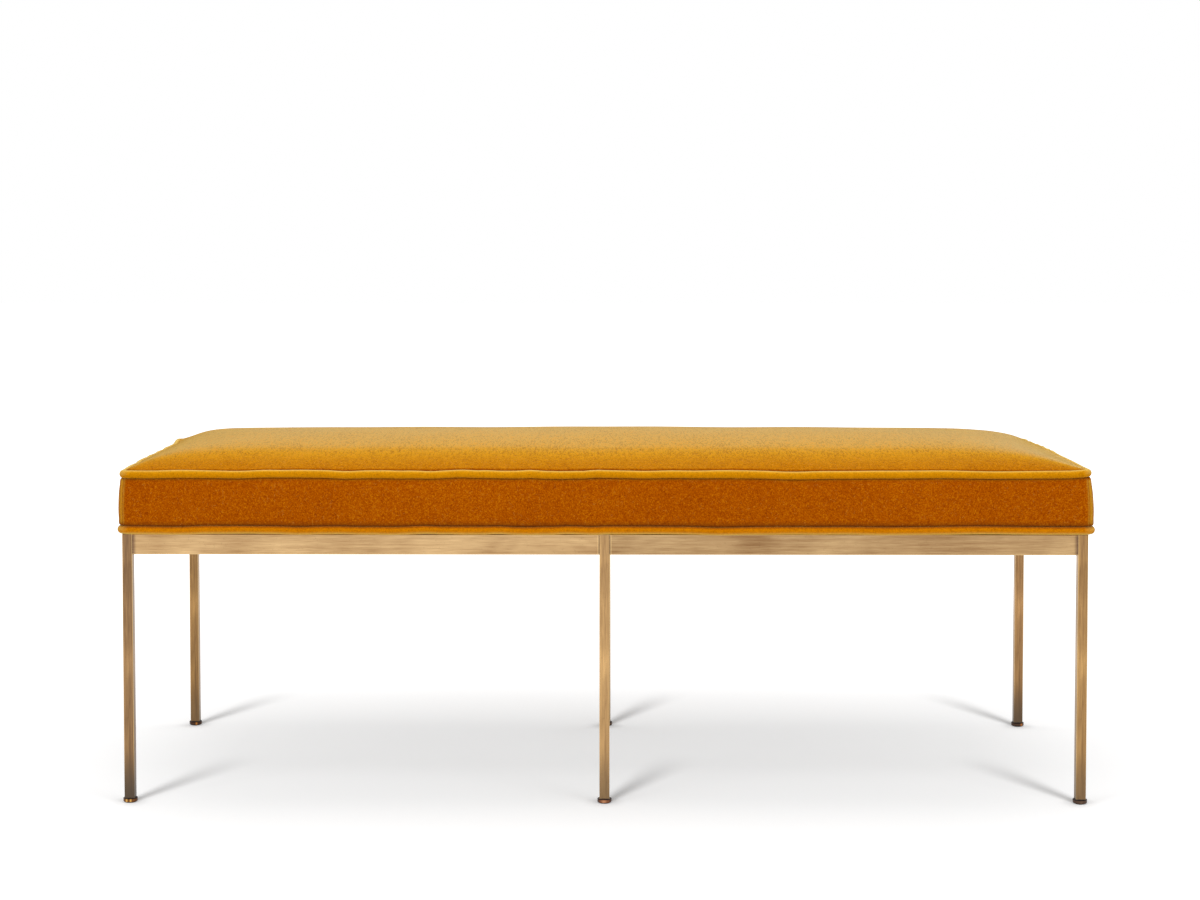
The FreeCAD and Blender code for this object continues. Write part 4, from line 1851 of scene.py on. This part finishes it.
@dataclass
class Feet:
    """The six levelling feet: disc, pad, threaded stud and the plug in the tube."""

    nodes: Dict[str, bpy.types.Object]

    def dress(self) -> None:
        """Dress the discs, pads, studs and plugs."""
        pad = PlainMetal("pad_scene", srgb(76, 82, 86), 0.0, 0.7).material()
        plug = PlainMetal("plug_scene", srgb(26, 26, 28), 0.0, 0.55).material()
        steel = PlainMetal("stud_scene", srgb(178, 178, 180), 1.0, 0.35).material()
        # Per foot: the disc's colour, the colour of its painted highlights, their offsets and
        # widths across the disc in mm, and the strength of the painted shade on its sides
        discs = {
            "front_left": (srgb(132, 86, 46), srgb(246, 192, 104), ((-3.3, 1.8), (1.9, 1.6)), 0.5),
            "front_middle": (srgb(150, 98, 68), srgb(214, 150, 108), ((-0.6, 4.6),), 0.85),
            "front_right": (srgb(96, 76, 64), srgb(112, 90, 74), ((0.0, 3.0),), 0.4),
            "rear_left": (srgb(84, 60, 46), srgb(216, 142, 66), ((2.6, 1.9),), 0.4),
            "rear_middle": (srgb(110, 82, 60), srgb(170, 120, 80), ((0.0, 3.0),), 0.5),
            "rear_right": (srgb(86, 66, 54), srgb(196, 126, 66), ((4.6, 2.6),), 0.3),
        }
        for place in PLACES:
            at = leg_place(place)
            disc = FootBrass("disc_" + place, at, *discs[place]).material()
            dress(self.nodes["foot_disc_" + place], disc)
            dress(self.nodes["foot_pad_" + place], pad)
            dress(self.nodes["leg_plug_" + place], plug)
            stud = ThreadedStud().build("threaded_stud_" + place, at)
            dress(stud, steel)
            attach(stud, "stud_" + place)
            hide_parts("foot_stud_" + place)


def screw_places(node: bpy.types.Object) -> List[Pair]:
    """Where the screws stand, read from the frame's own node.

    Args:
        node: The node that holds all the screws.

    Returns:
        Each screw's place in plan.
    """
    groups: List[List[Vector]] = []
    apart = 20 * MM
    for vertex in node.data.vertices:
        near = next((g for g in groups if (g[0].xy - vertex.co.xy).length < apart), None)
        if near is None:
            groups.append([vertex.co.copy()])
        else:
            near.append(vertex.co.copy())
    places = []
    for group in groups:
        xs, ys = [v.x for v in group], [v.y for v in group]
        places.append(((min(xs) + max(xs)) / 2, (min(ys) + max(ys)) / 2))
    return sorted(places)


def add_piece(piece: bpy.types.Object) -> None:
    """Fix a piece to the bench's body and report it.

    Args:
        piece: The piece.
    """
    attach(piece, BODY)
    LOG.info("%s: %d faces", piece.name, len(piece.data.polygons))


def main() -> None:
    """Build the looks of the bench, piece by piece."""
    logging.basicConfig(level=logging.INFO, format="%(name)s: %(message)s")
    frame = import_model()
    nodes = frame["nodes"]
    BrassFrame(nodes).dress()
    LOG.info("frame: dressed")
    Feet(nodes).dress()
    LOG.info("feet: dressed")
    pale = srgb(232, 150, 20)
    # The velvet's colours for upright, upturned and backward-leaning faces are painted sheen, and
    # its last colour is a painted sheen highlight
    velvet = Velvet(
        name="velvet_scene",
        side=srgb(200, 97, 0),
        top=srgb(208, 125, 0),
        painted_sheen_crest=srgb(236, 176, 22),
        pale=pale,
        painted_sheen_ridge=srgb(226, 160, 40),
    ).material()
    # On the top welt the upturned faces take painted sheen, and the rim colour is a painted sheen
    # highlight
    upper, lower = srgb(240, 168, 12), srgb(244, 162, 6)
    rim = srgb(252, 214, 112)
    top_piping = Velvet("top_piping_scene", lower, upper, upper, pale, rim, 0.7).material()
    # On the low welt the downturned faces are painted brighter and the upturned ones darker,
    # against the light that falls on them; the rim colour is a painted sheen highlight
    upper, lower = srgb(188, 92, 0), srgb(240, 145, 0)
    rim = srgb(255, 214, 104)
    low_piping = Velvet("low_piping_scene", lower, upper, upper, pale, rim, 0.7).material()
    cushion = Cushion().build()
    dress(cushion, velvet)
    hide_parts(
        "cover_top_panel",
        "boxing_front",
        "boxing_rear",
        "boxing_left",
        "boxing_right",
        "foam_core",
        "batting_wrap",
    )
    add_piece(cushion)
    welts = []
    for share, node, piping in ((1, "welt_top", top_piping), (0, "welt_bottom", low_piping)):
        welt = Welt(node + "_cord", share).build()
        dress(welt, piping)
        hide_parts(node)
        add_piece(welt)
        welts.append(welt)
    stray = PlainMetal("fibre_scene", srgb(224, 140, 40), 0.0, 0.9).material()
    flecks = LooseFibres("velvet_fibres", 15000, (1.5, 5.5), 0.34, 0.03, 7)
    fuzz = LooseFibres("piping_fibres", 2600, (0.8, 2.2), 0.12, 0.45, 11)
    low_fuzz = LooseFibres("low_piping_fibres", 2200, (0.8, 2.2), 0.12, 0.45, 13)
    skins = ((flecks, cushion, 354 * MM), (fuzz, welts[0], 0.0), (low_fuzz, welts[1], 344 * MM))
    for fibres, skin, low in skins:
        piece = fibres.build(skin, low)
        dress(piece, stray)
        add_piece(piece)
    steel = PlainMetal("screw_scene", srgb(170, 168, 160), 1.0, 0.35).material()
    for number, at in enumerate(screw_places(nodes["seat_screws"]), 1):
        screw = Screw().build(f"seat_screw_{number}", at)
        dress(screw, steel)
        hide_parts("seat_screws")
        add_piece(screw)
    under = Underside()
    cloth = under.dust_cover()
    dress(cloth, DustCloth().material())
    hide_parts("dust_cover")
    add_piece(cloth)
    for edge, flat in under.turned_edges():
        dress(edge, velvet)
        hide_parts("cover_underturn")
        add_piece(edge)
    dress(nodes["cover_staples"], steel)
    dress(nodes["seat_deck"], Plywood().material())
    Studio().build()
    bpy.context.scene.view_settings.view_transform = "Standard"


if __name__ == "__main__":
    main()
